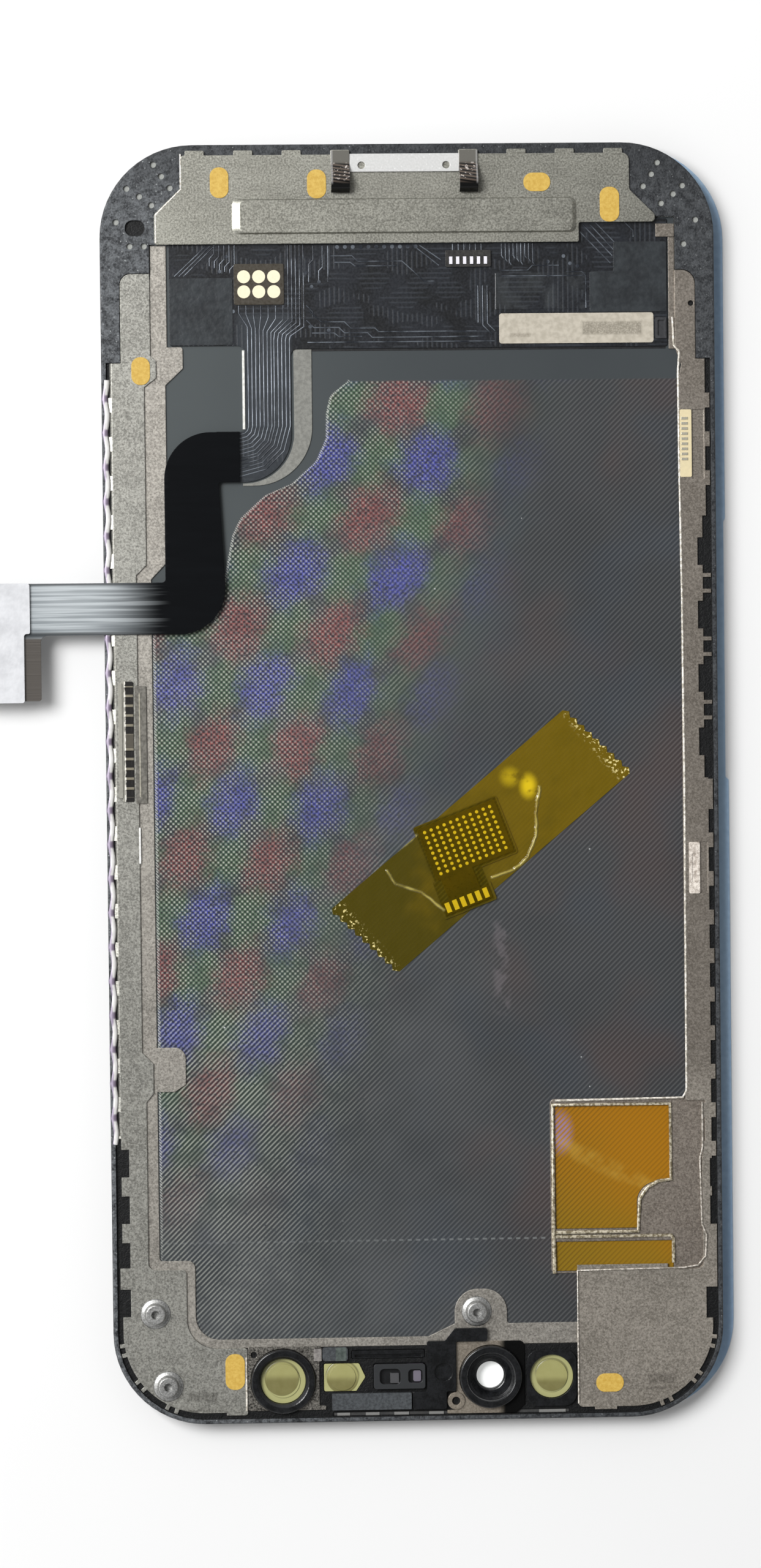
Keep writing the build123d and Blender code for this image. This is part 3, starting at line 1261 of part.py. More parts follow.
# steel bracket round the camera seat, with an eyelet at its corner
camera_clip_left = camera_x - camera_radius - 0.35
camera_clip_right = camera_x + camera_radius + 0.3
camera_clip_top = camera_y + camera_radius + 0.45
camera_clip_bottom = bottom + 0.7
eyelet_x = camera_clip_left - 0.05
eyelet_y = bottom + 2.1
eyelet_radius = 0.95
eyelet_hole_radius = 0.45
with BuildPart() as camera_bracket:
    slab([
        (camera_clip_left, camera_clip_top, 0.3), (camera_clip_left, camera_clip_bottom + 0.4, 0),
        (camera_clip_left - 1.0, camera_clip_bottom + 0.4, 0),
        (camera_clip_left - 1.0, camera_clip_bottom, 0.1),
        (camera_clip_right - 0.9, camera_clip_bottom, 0.4),
        (camera_clip_right, camera_clip_bottom + 0.9, 0.3),
        (camera_clip_right, camera_clip_top, 0.6),
    ], deck_level, deck_level + clip_thickness)
    disc(eyelet_x, eyelet_y, eyelet_radius, deck_level, deck_level + 2 * clip_thickness)
    disc(camera_x, camera_y, camera_radius + fit_gap, deck_level, deck_level + 2 * clip_thickness,
         Mode.SUBTRACT)
    disc(eyelet_x, eyelet_y, eyelet_hole_radius, deck_level, deck_level + 2 * clip_thickness, Mode.SUBTRACT)
camera_bracket.part.label = "camera_bracket"
export_step(camera_bracket.part, "parts/camera_bracket.step")

# square seat with a film, for the dot projector
with BuildPart() as projector_seat:
    block(square_x - square_seat_width / 2, square_x + square_seat_width / 2,
          square_y - square_seat_length / 2, square_y + square_seat_length / 2,
          seat_level, deck_level, square_radius)
    block(square_x - square_width / 2, square_x + square_width / 2,
          square_y - square_length / 2, square_y + square_length / 2,
          deck_level, deck_level + square_height, square_radius)
    disc(square_x, square_y + 0.15, square_hole_radius, film_seat_level, deck_level + square_height,
         Mode.SUBTRACT)
    disc(square_x, square_y + 0.15, ledge_radius, seat_level, film_seat_level, Mode.SUBTRACT)
projector_seat.part.label = "projector_seat"
export_step(projector_seat.part, "parts/projector_seat.step")

with BuildPart() as projector_film:
    disc(square_x, square_y + 0.15, square_hole_radius - fit_gap, film_seat_level,
         film_seat_level + sensor_film_thickness)
    disc(square_x, square_y + 0.15, infrared_dome_radius - 0.1, film_seat_level,
         film_seat_level + sensor_film_thickness + sensor_film_dome)
projector_film.part.label = "projector_film"
export_step(projector_film.part, "parts/projector_film.step")

# steel strip along the sensor edge, with raised tabs
strip_thickness = 0.08
edge_tab_height = 0.12
edge_tabs = [(-8.3, 1.4), (-5.15, 1.5), (-2.0, 1.6), (1.8, 1.6), (14.45, 2.9)]
with BuildPart() as edge_strip:
    strip_lower_y = tab_groove_y - tab_groove_width / 2 + fit_gap
    strip_upper_y = tab_groove_y + tab_groove_width / 2 - fit_gap
    block(tab_groove_left + fit_gap, tab_groove_right - fit_gap, strip_lower_y, strip_upper_y,
          low_level, low_level + strip_thickness)
    for tab_x, tab_length in edge_tabs:
        block(tab_x - tab_length / 2, tab_x + tab_length / 2, strip_lower_y, strip_upper_y,
              low_level + strip_thickness, low_level + strip_thickness + edge_tab_height)
edge_strip.part.label = "edge_strip"
export_step(edge_strip.part, "parts/edge_strip.step")

# small chip on a scrap of flex, held on the panel by a strip of amber tape
chip_flex_x = 5.6
chip_flex_y = -6.1
chip_flex_turn = 21.1
chip_flex_width = 9.0
chip_flex_length = 6.0
chip_flex_thickness = 0.1
chip_dot_columns = 11
chip_dot_rows = 9
chip_dot_pitch_x = 0.76
chip_dot_pitch_y = 0.6
chip_dot_radius = 0.2
chip_dot_height = 0.03
head_pad_count = 6
head_pad_pitch = 0.88
chip_neck_left = -4.0
chip_neck_right = -0.4
chip_neck_end = -5.4
chip_head_left = -4.95
chip_head_right = 0.5
chip_head_end = -6.85


def chip_plane(level):
    turn = math.radians(chip_flex_turn)
    return Plane(origin=(chip_flex_x, chip_flex_y, level), x_dir=(math.cos(turn), math.sin(turn), 0),
                 z_dir=(0, 0, 1))


def chip_corners(gap):
    half_width = chip_flex_width / 2 + gap
    half_length = chip_flex_length / 2 + gap
    return [
        (-half_width, half_length, 0.3), (-half_width, -half_length, 0.3),
        (chip_neck_left - gap, -half_length, 0), (chip_neck_left - gap, chip_neck_end + gap, 0),
        (chip_head_left - gap, chip_neck_end + gap, 0.2), (chip_head_left - gap, chip_head_end - gap, 0.2),
        (chip_head_right + gap, chip_head_end - gap, 0.2), (chip_head_right + gap, chip_neck_end + gap, 0.2),
        (chip_neck_right + gap, chip_neck_end + gap, 0), (chip_neck_right + gap, -half_length, 0),
        (half_width, -half_length, 0.3), (half_width, half_length, 0.3),
    ]


with BuildPart() as chip_flex:
    with BuildSketch(chip_plane(low_level)):
        closed_outline(chip_corners(0))
    extrude(amount=chip_flex_thickness)
    with BuildSketch(chip_plane(low_level + chip_flex_thickness)):
        with GridLocations(chip_dot_pitch_x, chip_dot_pitch_y, chip_dot_columns, chip_dot_rows):
            RegularPolygon(chip_dot_radius, 6)
        with Locations(((chip_head_left + chip_head_right) / 2, (chip_neck_end + chip_head_end) / 2)):
            with GridLocations(head_pad_pitch, 1, head_pad_count, 1):
                Rectangle(head_pad_pitch * 0.6, 1.1)
    extrude(amount=chip_dot_height)
chip_flex.part.label = "chip_flex"
export_step(chip_flex.part, "parts/chip_flex.step")

amber_tape_thickness = 0.06
amber_tape_length = 33.0
amber_tape_width = 9.95
amber_tape_x = 7.3
amber_tape_y = -6.2
amber_tape_turn = 40.0
amber_end_slant = 1.1
saw_teeth = 9
saw_depth = 0.4
bump_margin = 0.35


def saw_end(x, slant, outward, low_to_high):
    # the toothed cut across one end of the tape
    points = []
    for tooth in range(2 * saw_teeth + 1):
        share = tooth / (2 * saw_teeth)
        if not low_to_high:
            share = 1 - share
        reach = outward * saw_depth * (tooth % 2)
        points.append((x + slant * (share - 0.5) + reach, amber_tape_width * (share - 0.5), 0))
    return points


with BuildPart() as amber_tape:
    tape_turn = math.radians(amber_tape_turn)
    with BuildSketch(Plane(origin=(amber_tape_x, amber_tape_y, low_level),
                           x_dir=(math.cos(tape_turn), math.sin(tape_turn), 0), z_dir=(0, 0, 1))):
        closed_outline(saw_end(amber_tape_length / 2, -amber_end_slant, 1, True)
                       + saw_end(-amber_tape_length / 2, -amber_end_slant, -1, False))
    extrude(amount=amber_tape_thickness)
    chip_room = chip_flex_thickness + chip_dot_height + fit_gap / 2
    with BuildSketch(chip_plane(low_level)):
        closed_outline(chip_corners(bump_margin))
    extrude(amount=chip_room + amber_tape_thickness)
    with BuildSketch(chip_plane(low_level)):
        closed_outline(chip_corners(fit_gap))
    extrude(amount=chip_room, mode=Mode.SUBTRACT)
amber_tape.part.label = "amber_tape"
export_step(amber_tape.part, "parts/amber_tape.step")
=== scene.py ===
import math

import bmesh
import bpy
from mathutils import Matrix, Vector


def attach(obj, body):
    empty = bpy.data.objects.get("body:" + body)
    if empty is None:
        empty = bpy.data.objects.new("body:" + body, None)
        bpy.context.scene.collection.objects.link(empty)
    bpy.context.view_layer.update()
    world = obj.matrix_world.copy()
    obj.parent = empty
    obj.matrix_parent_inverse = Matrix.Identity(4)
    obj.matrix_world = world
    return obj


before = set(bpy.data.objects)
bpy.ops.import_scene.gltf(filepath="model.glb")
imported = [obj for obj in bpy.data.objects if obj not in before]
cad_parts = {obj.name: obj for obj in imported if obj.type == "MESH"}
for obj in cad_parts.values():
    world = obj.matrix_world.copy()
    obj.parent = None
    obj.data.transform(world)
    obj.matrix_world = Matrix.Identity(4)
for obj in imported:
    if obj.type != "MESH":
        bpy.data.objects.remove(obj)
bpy.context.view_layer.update()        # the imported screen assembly, rear side up
print("frame loaded:", len(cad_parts), "nodes")

mm = 0.001
black = (0, 0, 0, 1)
white = (1, 1, 1, 1)


def colour(red, green, blue):
    # 0 to 255 as a screen shows it, to the linear values that shaders read
    levels = [c / 255 for c in (red, green, blue)]
    return tuple(((c + 0.055) / 1.055) ** 2.4 if c > 0.04 else c / 12.92 for c in levels) + (1.0,)


class Wire:
    # a shader socket; sums on it add Math nodes
    def __init__(self, tree, socket=None):
        self.tree = tree
        self.socket = socket

    def node(self, kind, settings=None, values=None, out=0):
        made = self.tree.nodes.new("ShaderNode" + kind)
        for name, value in (settings or {}).items():
            if name == "stops":
                elements = made.color_ramp.elements
                elements.remove(elements[1])
                elements[0].position, elements[0].color = value[0]
                for at, shade in value[1:]:
                    elements.new(at).color = shade
            else:
                setattr(made, name, value)
        for name, value in (values or {}).items():
            if isinstance(value, Wire):
                self.tree.links.new(value.socket, made.inputs[name])
            else:
                made.inputs[name].default_value = value
        return Wire(self.tree, made.outputs[out] if len(made.outputs) else None)

    def maths(self, operation, *others):
        return self.node("Math", {"operation": operation}, dict(enumerate((self,) + others)))

    def __add__(self, other):
        return self.maths("ADD", other)

    def __mul__(self, other):
        return self.maths("MULTIPLY", other)

    def __sub__(self, other):
        return self.maths("SUBTRACT", other)

    def __rsub__(self, other):
        return self.node("Math", {"operation": "SUBTRACT"}, {0: other, 1: self})

    def __abs__(self):
        return self.maths("ABSOLUTE")

    __radd__ = __add__
    __rmul__ = __mul__

    def larger(self, other):
        return self.maths("MAXIMUM", other)

    def wave(self):
        # 1 at every whole number and 0 half way between
        return (self * (2 * math.pi)).maths("COSINE") * 0.5 + 0.5

    def smooth(self, low, high):
        # 0 at the low end and 1 at the high one, which may be the smaller number
        return self.node("MapRange", {"interpolation_type": "SMOOTHSTEP"},
                         {"Value": self, "From Min": low, "From Max": high})

    def between(self, start, full, fading, end):
        # rises from start to full and falls from fading to end
        return self.smooth(start, full) * self.smooth(end, fading)

    def mix(self, first, second):
        # this socket is the share of the second colour; three numbers are a screen colour
        first, second = (colour(*c) if isinstance(c, tuple) and len(c) == 3 else c for c in (first, second))
        return self.node("Mix", {"data_type": "RGBA"}, {0: self, 6: first, 7: second}, 2)

    def noise(self, size, detail=2.0, roughness=0.5):
        return self.node("TexNoise", {}, {"Vector": self, "Scale": 1 / size, "Detail": detail,
                                          "Roughness": roughness})

    def cells(self, size):
        return self.node("TexVoronoi", {}, {"Vector": self, "Scale": 1 / size}, "Distance")

    def parts(self):
        made = self.node("SeparateXYZ", {}, {0: self}).socket.node
        return [Wire(self.tree, socket) for socket in made.outputs]

    def moved(self, x, y, z=0.0):
        return self.node("VectorMath", {"operation": "SUBTRACT"}, {0: self, 1: (x, y, z)})

    def stretched(self, x, y, z=1.0):
        return self.node("VectorMath", {"operation": "MULTIPLY"}, {0: self, 1: (x, y, z)})

    def turned(self, degrees):
        return self.node("VectorRotate", {"rotation_type": "Z_AXIS"},
                         {"Vector": self, "Angle": math.radians(degrees)})

    def reach(self, x, y, tall=1.0):
        # how far away a spot on the plan is
        flat = self.moved(x, y).stretched(1, tall, 0)
        return flat.node("VectorMath", {"operation": "LENGTH"}, {0: flat}, "Value")


def startFinish(name):
    # a new material, and the place on the object in millimetres
    material = bpy.data.materials.new(name)
    material.use_nodes = True
    material.node_tree.nodes.clear()
    tree = Wire(material.node_tree)
    place = tree.node("VectorMath", {"operation": "SCALE"},
                      {0: tree.node("TexCoord", out="Object"), "Scale": 1 / mm})
    return material, place


def boxMask(place, box, soft):
    # 1 inside a box on the plan (left, right, bottom, top), fading over its border
    x, y, z = place.parts()
    half = soft / 2
    x0, x1, y0, y1 = box
    wide = x.between(x0 - half, x0 + half, x1 - half, x1 + half)
    return wide * y.between(y0 - half, y0 + half, y1 - half, y1 + half)


def endFinish(material, place, values, height=None, depth=0.01, edge=0.0):
    # depth is the height of the relief and edge the rounding of the rims, in millimetres
    if height is not None:
        relief = {"Strength": 1.0, "Distance": depth * mm, "Height": height}
        if edge:
            relief["Normal"] = place.node("Bevel", {"samples": 4}, {"Radius": edge * mm})
        values["Normal"] = place.node("Bump", {}, relief)
    shader = place.node("BsdfPrincipled", {}, values)
    place.node("OutputMaterial", {}, {"Surface": shader})
    return material


# camera, lamp, world and floor
cameraLook = {"place": (-21.75, 13.2, 482.16), "turn": (-1.538, -2.19, -0.637), "lens": 101.79, "near": 0.01}
lampLook = {"place": (-420, 240, 620), "size": 0.4, "power": 8.0}
worldLook = {"low": 0.66, "high": 0.2, "dimFrom": (0.98, 0.45), "slope": 0.4, "lean": (-0.8, 0.3)}
floorLook = {"size": 6.0, "drop": 0.02, "glow": 0.03, "grain": 40.0, "roughness": 0.9,
             "tones": ((216, 216, 216), (219, 219, 219))}


def makeCamera():
    data = bpy.data.cameras.new("camera")
    data.lens = cameraLook["lens"]
    data.clip_start = cameraLook["near"]
    camera = bpy.data.objects.new("camera", data)
    camera.location = Vector(cameraLook["place"]) * mm
    camera.rotation_euler = [math.radians(a) for a in cameraLook["turn"]]
    bpy.context.scene.collection.objects.link(camera)
    bpy.context.scene.camera = camera


def makeLamp():
    data = bpy.data.lights.new("softLamp", "AREA")
    data.size = lampLook["size"]
    data.energy = lampLook["power"]
    lamp = bpy.data.objects.new("softLamp", data)
    lamp.location = Vector(lampLook["place"]) * mm
    lamp.rotation_euler = (-lamp.location).to_track_quat("-Z", "Y").to_euler()
    bpy.context.scene.collection.objects.link(lamp)


def makeWorld():
    # a soft room, brighter on the upper left and dim straight above
    look = worldLook
    world = bpy.data.worlds.new("softRoom")
    world.use_nodes = True
    world.node_tree.nodes.clear()
    tree = Wire(world.node_tree)
    x, y, z = tree.node("TexCoord", out="Generated").parts()
    level = z.smooth(*look["dimFrom"]) * (look["low"] - look["high"]) + look["high"]
    leanX, leanY = look["lean"]
    level = level + look["slope"] * (leanY * y + leanX * x)
    room = tree.node("Background", {}, {"Color": level.mix(black, white), "Strength": 1.0})
    tree.node("OutputWorld", {}, {"Surface": room})
    bpy.context.scene.world = world


def makeFloor():
    look = floorLook
    sheet = bmesh.new()
    bmesh.ops.create_grid(sheet, x_segments=1, y_segments=1, size=look["size"] / 2)
    bmesh.ops.translate(sheet, verts=sheet.verts, vec=(0, 0, -look["drop"] * mm))
    mesh = bpy.data.meshes.new("floor")
    sheet.to_mesh(mesh)
    floor = bpy.data.objects.new("floor", mesh)
    bpy.context.scene.collection.objects.link(floor)
    material, place = startFinish("paleFloor")
    seen = place.node("LightPath", out="Is Camera Ray")
    glossy = place.node("LightPath", out="Is Glossy Ray")
    through = place.node("LightPath", out="Is Transmission Ray")
    glow = (seen + glossy + through).smooth(0, 1) * look["glow"]
    base = place.noise(look["grain"]).mix(*look["tones"])
    endFinish(material, place, {"Base Color": base, "Roughness": look["roughness"],
                                "Emission Color": glow.mix(black, white), "Emission Strength": 1.0})
    mesh.materials.append(material)


makeCamera()
makeLamp()
makeWorld()
makeFloor()
bpy.context.scene.view_settings.view_transform = "Standard"
print("camera, light and floor are set")


# the moulded frame; heights and places in millimetres
plasticLook = {
    "dark": (26, 28, 31), "pale": (98, 101, 104), "recessShade": (5, 6, 7),
    "speck": (150, 153, 154), "pip": (150, 152, 148),
    "grain": 0.22, "cloud": 0.9, "speckPitch": 0.5, "speckPatch": 1.3, "roughness": 0.35,
    "paintedLightFrom": (20, -34), "dimTop": (62, 69),
    "pipFloor": (2.33, 2.37, 2.39, 2.42), "pipsFrom": (54.0, 54.5), "floor": (2.365, 2.335),
    "ledge": (2.55, 2.5),
}


def plasticFinish():
    # rough grey on the top faces, paler to the left with painted light, pale floors in the pips, and painted
    # shade nearly black in the recesses
    look = plasticLook
    material, place = startFinish("framePlastic")
    x, y, z = place.parts()
    grain = place.noise(look["grain"], 3, 0.75)
    cloud = place.noise(look["cloud"], 3, 0.7)
    patches = place.noise(look["speckPatch"]).smooth(0.44, 0.58)
    specks = place.cells(look["speckPitch"]).smooth(0.2, 0.08) * patches
    # painted light: the plastic is paler, and its specks stronger, towards the left
    left = x.smooth(*look["paintedLightFrom"])
    shade = (grain * 0.5 + cloud * 0.5).smooth(0.36, 0.64)
    level = shade * (0.45 + left * 0.55) * (1 - y.smooth(*look["dimTop"]) * 0.5)
    base = level.mix(look["dark"], look["pale"])
    base = (specks * (0.3 + left * 0.5)).mix(base, look["speck"])
    pips = z.between(*look["pipFloor"]) * y.smooth(*look["pipsFrom"])
    base = pips.mix(base, look["pip"])
    # painted shade: the recesses and the low ledge turn nearly black
    shadedRecess = z.smooth(*look["floor"]) + z.smooth(*look["ledge"]) * (1 - pips)
    base = shadedRecess.smooth(0, 1).mix(base, look["recessShade"])
    rough = grain * 0.25 + look["roughness"]
    values = {"Base Color": base, "Roughness": rough, "Specular IOR Level": 0.25}
    return endFinish(material, place, values, grain + cloud, 0.05, 0.12)


# the steel sheets: one grain, with a dark and a pale tone for each
steelLook = {"grain": 0.2, "cloud": 7.0, "rub": 1.2, "speck": 0.3, "speckTone": (205, 203, 196),
             "metal": 0.8, "roughness": 0.28, "edge": 0.09}
steelTones = {
    "leftSteel": ((120, 119, 113), (182, 181, 173)),
    "retainerSteel": ((134, 130, 123), (192, 187, 178)),
    "bracketSteel": ((116, 115, 107), (174, 173, 163)),
    "rightSteel": ((136, 130, 120), (194, 186, 175)),
    "windowSteel": ((122, 113, 104), (174, 164, 153)),
    "bracketDark": ((42, 40, 37), (160, 156, 148)),
    "beigeSteel": ((140, 131, 118), (178, 168, 154)),
    "brightSteel": ((128, 128, 126), (188, 188, 186)),
}
# the right plate is darker and browner above the window plate with painted shade, and the camera's bracket
# black on its right
paintedShadeStretch = {"rise": (-36.0, -28.0), "share": 0.4, "tone": (94, 84, 77)}
blackSide = {"rise": (8.4, 9.4), "tone": (14, 14, 14)}
# small rubbed patches: left, right, bottom and top
rubbedPatches = {"leftSteel": [(-25.2, -22.0, -66.75, -65.7), (-25.9, -22.8, -67.85, -67.6)],
                 "rightSteel": [(25.0, 28.0, -65.6, -64.5), (24.6, 28.3, -66.2, -65.9)]}
rubLook = {"tone": (66, 62, 56), "grain": 0.16, "soft": 0.4, "share": 0.45}


def steelFinish(name):
    look = steelLook
    material, place = startFinish(name)
    x, y, z = place.parts()
    grain = place.noise(look["grain"], 3, 0.75)
    cloud = place.noise(look["cloud"])
    rubs = place.stretched(0.3, 1.0).noise(look["rub"], 3)
    specks = place.noise(look["speck"], 2, 0.8).smooth(0.62, 0.74)
    shade = (grain * 0.75 + cloud * 0.15 + rubs * 0.1).smooth(0.34, 0.66)
    base = (specks * 0.2).mix(shade.mix(*steelTones[name]), look["speckTone"])
    if name == "rightSteel":
        # painted shade on the right plate above the window plate
        base = (y.smooth(*paintedShadeStretch["rise"]) * paintedShadeStretch["share"]).mix(base, paintedShadeStretch["tone"])
    if name == "beigeSteel":
        base = x.smooth(*blackSide["rise"]).mix(base, blackSide["tone"])
    for box in rubbedPatches.get(name, []):
        rubbed = boxMask(place, box, rubLook["soft"]) * place.noise(rubLook["grain"]).smooth(0.1, 0.7)
        base = (rubbed * rubLook["share"]).mix(base, rubLook["tone"])
    values = {"Base Color": base, "Metallic": look["metal"], "Roughness": grain * 0.2 + look["roughness"]}
    return endFinish(material, place, values, grain, 0.008, look["edge"])


# the patterned back of the panel
panelLook = {
    "plain": (58, 62, 64), "pale": (76, 79, 81), "right": (50, 51, 53),
    "warm": (76, 58, 54), "cool": (52, 62, 74), "soot": (34, 36, 44),
    "red": (138, 70, 68), "blue": (74, 78, 166), "green": (68, 92, 68),
    "dark": (30, 32, 34), "thread": (178, 180, 168), "sheen": (150, 150, 148),
    "dust": (170, 172, 172), "dots": (140, 144, 144), "streak": (108, 102, 106),
    "stitch": (190, 192, 188), "border": ((74, 79, 80), (52, 56, 59)),
}
# the slanting grid of soft spots: a corner, one step across and one step down
spotGrid = {"corner": (-21.7, 4.7), "across": (9.2, -0.6), "down": (-3.3, -12.4), "blueShift": (0.44, 0.5),
            "wander": 4.5, "slant": 0.266, "aside": 3.0, "widerFrom": (6, 26), "wider": 0.17}
# where colours and threads fade, and where the pattern, its dotted line and its streak lie
panelPlaces = {
    "spotsAcross": (11.0, -20.0), "spotsFoot": (-58, -26), "spotsUpper": (8, 36), "upperAcross": (10, -3),
    "threadsAcross": (4, -18), "threadsFoot": (-58, -16), "threadsUpper": (12, 34), "threadsRight": (12, -2),
    "crossing": (-36, -16), "top": (43.8, 43.55), "foot": (-60.4, -60.0), "stitchTop": (43.9, 43.7),
    "stitchFoot": (-58, -40), "dotLine": (-28, 14, -49.62, -49.42), "streakBox": (8.6, 10.2, -25, -15),
}
hatchPitch = 0.4
# where the pattern begins on the left: height on the panel and distance across
patternEdge = [(-60.0, -28.0), (17.4, -28.0), (17.5, -21.5), (21.5, -20.4), (27.2, -19.3), (29.0, -18.4),
               (31.4, -15.8), (32.7, -12.8), (35.0, -10.2), (37.5, -9.06), (40.3, -9.0), (42.2, -8.54),
               (43.63, -6.67)]


def edgeRamp(y, points):
    # a ramp whose grey level is the distance across, for each height
    low, high, span = points[0][0], points[-1][0], 30.0
    stops = [((at - low) / (high - low), ((x + span) / span,) * 3 + (1.0,)) for at, x in points]
    level = y.node("ValToRGB", {"stops": stops}, {0: (y - low) * (1 / (high - low))})
    return level * span - span


def panelSpots(place, x, y):
    # shares of red, blue and green; the spots stand wider apart towards the top
    grid = spotGrid
    wobble = place.noise(2.2, 3, 0.65)
    wander = place.moved(31, 17).noise(2.6, 3, 0.65)
    dx = x - grid["corner"][0] + (wobble - 0.5) * grid["wander"]
    dy = y - grid["corner"][1] + (wander - 0.5) * grid["wander"]
    aside = dx - dy * grid["slant"] - grid["aside"]
    dx = dx - aside * y.smooth(*grid["widerFrom"]) * grid["wider"]
    (ax, ay), (bx, by) = grid["across"], grid["down"]
    size = ax * by - ay * bx
    u = dx * (by / size) - dy * (bx / size)
    v = dy * (ax / size) - dx * (ay / size)

    def blobs(shiftU, shiftV):
        return (((u - shiftU).wave() + (v - shiftV).wave()) * 0.5).smooth(0.46, 1.05)

    su, sv = grid["blueShift"]
    green = (blobs(0.5, 0) + blobs(su + 0.5, sv)).smooth(0, 1)
    return blobs(0, 0), blobs(su, sv), green


def panelGround(place, x):
    # the grey under the pattern, with a warm cloud on the right and a cool one low down
    look = panelLook
    cloud = (place.noise(16.0) * 0.8 + place.noise(4.0) * 0.2).smooth(0.35, 0.65)
    base = cloud.mix(look["plain"], look["pale"])
    base = (x.smooth(-24, 22) * 0.75).mix(base, look["right"])
    warm = place.moved(8, 4).noise(13.0).smooth(0.5, 0.75) * x.smooth(0, 12)
    base = (warm * 0.4).mix(base, look["warm"])
    cool = place.moved(-8, 30).noise(11.0).smooth(0.5, 0.7)
    return (cool * 0.25).mix(base, look["cool"])


def panelWeave(x, y, left):
    # crossing threads above, single rising ones below
    rate = 1 / (hatchPitch * math.sqrt(2))
    rising = ((x - y) * rate).wave()
    falling = ((x + y) * rate).wave()
    crossed = y.smooth(*panelPlaces["crossing"]) * left.smooth(0.1, 0.5)
    return rising + (falling - rising) * crossed * 0.5


def panelFinish():
    look = panelLook
    at = panelPlaces
    material, place = startFinish("panelBack")
    x, y, z = place.parts()
    red, blue, green = panelSpots(place, x, y)
    # strong on the left, gone by the middle and near the lower end
    fade = (x - y * 0.3).smooth(*at["spotsAcross"]) * y.smooth(*at["spotsFoot"])
    fade = (fade + y.smooth(*at["spotsUpper"]) * x.smooth(*at["upperAcross"]) * 0.7).smooth(0.0, 1.1)
    crumbs = place.noise(0.35, 2, 0.7)
    ragged = crumbs.smooth(0.2, 0.75)
    base = panelGround(place, x)
    base = (fade * green * 0.75).mix(base, look["green"])
    base = (fade * red * ragged * 0.85).mix(base, look["red"])
    base = (fade * blue * ragged * 0.9).mix(base, look["blue"])
    soot = place.moved(5, 60).noise(0.5, 3, 0.8).smooth(0.5, 0.66)
    coloured = (red + blue).smooth(0, 1)
    base = (soot * fade * (0.25 + coloured * 0.4)).mix(base, look["soot"])
    left = (x - y * 0.12).smooth(*at["threadsAcross"]) * (y.smooth(*at["threadsFoot"]) * 0.6 + 0.4)
    left = left.larger(y.smooth(*at["threadsUpper"]) * x.smooth(*at["threadsRight"]) * 0.8)
    weave = panelWeave(x, y, left)
    here = place.moved(50, 9).noise(2.4, 1).smooth(0.3, 0.6)
    bright = weave.smooth(0.55, 0.85) * (0.35 + here * 0.65) * crumbs.smooth(0.3, 0.45)
    base = (bright * left * (1 - coloured * fade * 0.35) * 0.62).mix(base, look["thread"])
    base = (weave.smooth(0.5, 0.15) * (0.3 + left * 0.5)).mix(base, look["dark"])
    base = (weave.smooth(0.6, 1.0) * 0.1).mix(base, look["sheen"])
    pits = place.cells(0.9).smooth(0.16, 0.05) * place.noise(1.7).smooth(0.52, 0.6)
    base = (pits * fade * 0.8).mix(base, look["dark"])
    dust = place.cells(3.4).smooth(0.035, 0.02) * place.noise(8.0).smooth(0.5, 0.6)
    base = dust.mix(base, look["dust"])
    dots = boxMask(place, at["dotLine"], 0.08) * (x * 1.1).wave().smooth(0.3, 0.7)
    base = (dots * (0.15 + x.smooth(-12, 6) * 0.2)).mix(base, look["dots"])
    streak = boxMask(place, at["streakBox"], 0.8) * place.noise(1.2).smooth(0.4, 0.6)
    base = (streak * 0.3).mix(base, look["streak"])
    # a plain border round the pattern, stitched on the left
    away = x - edgeRamp(y, patternEdge)
    inside = away.smooth(-0.1, 0.15) * y.smooth(*at["top"]) * y.smooth(*at["foot"])
    border = (x.smooth(-30, 10) * 0.6 + place.noise(12.0) * 0.3).mix(*look["border"])
    base = inside.mix(border, base)
    stitch = away.between(-0.02, 0.06, 0.2, 0.34) * ((x + y) * 3.3).wave().smooth(0.3, 0.6)
    stitch = stitch * y.smooth(*at["stitchTop"]) * y.smooth(*at["stitchFoot"])
    base = (stitch * 0.55).mix(base, look["stitch"])
    rough = 0.3 + inside * weave * 0.12
    return endFinish(material, place, {"Base Color": base, "Roughness": rough, "Specular IOR Level": 0.3},
                     weave * inside, 0.004)


# plain sheets: two near colours, the size of the grain, and how rough
plainLooks = {
    "clearSheet": {"colours": ((190, 196, 200), (205, 210, 212)), "size": 8.0, "roughness": 0.15},
    "polarizerSheet": {"colours": ((26, 28, 34), (36, 38, 44)), "size": 6.0, "roughness": 0.2},
    "panelGlass": {"colours": ((70, 84, 84), (86, 100, 98)), "size": 9.0, "roughness": 0.03},
    "whiteSheet": {"colours": ((226, 228, 228), (240, 241, 240)), "size": 5.0, "roughness": 0.45},
    "chipBlack": {"colours": ((26, 27, 30), (42, 43, 47)), "size": 0.3, "roughness": 0.45},
    "flexFilm": {"colours": ((92, 62, 22), (120, 84, 34)), "size": 1.5, "roughness": 0.3},
    "foamBlack": {"colours": ((14, 15, 17), (34, 36, 38)), "size": 0.25, "roughness": 0.85},
    "foamGrey": {"colours": ((40, 43, 46), (66, 70, 73)), "size": 0.3, "roughness": 0.75},
    "whiteCover": {"colours": ((184, 185, 188), (200, 201, 204)), "size": 3.0, "roughness": 0.3},
    "seatBlack": {"colours": ((9, 10, 11), (24, 25, 27)), "size": 0.8, "roughness": 0.15},
    "blackTape": {"colours": ((34, 37, 40), (46, 50, 53)), "size": 2.6, "roughness": 0.25},
    "beigeStrip": {"colours": ((103, 103, 98), (125, 125, 119)), "size": 0.35, "roughness": 0.4},
    "clipPale": {"colours": ((150, 140, 130), (224, 216, 206)), "size": 0.35, "roughness": 0.3},
    "goldPad": {"colours": ((180, 144, 54), (196, 164, 78)), "size": 0.3, "roughness": 0.45},
    "blueFilm": {"colours": ((150, 178, 208), (172, 200, 226)), "size": 3.0, "roughness": 0.25,
                 "streak": (1.0, 0.05)},
}


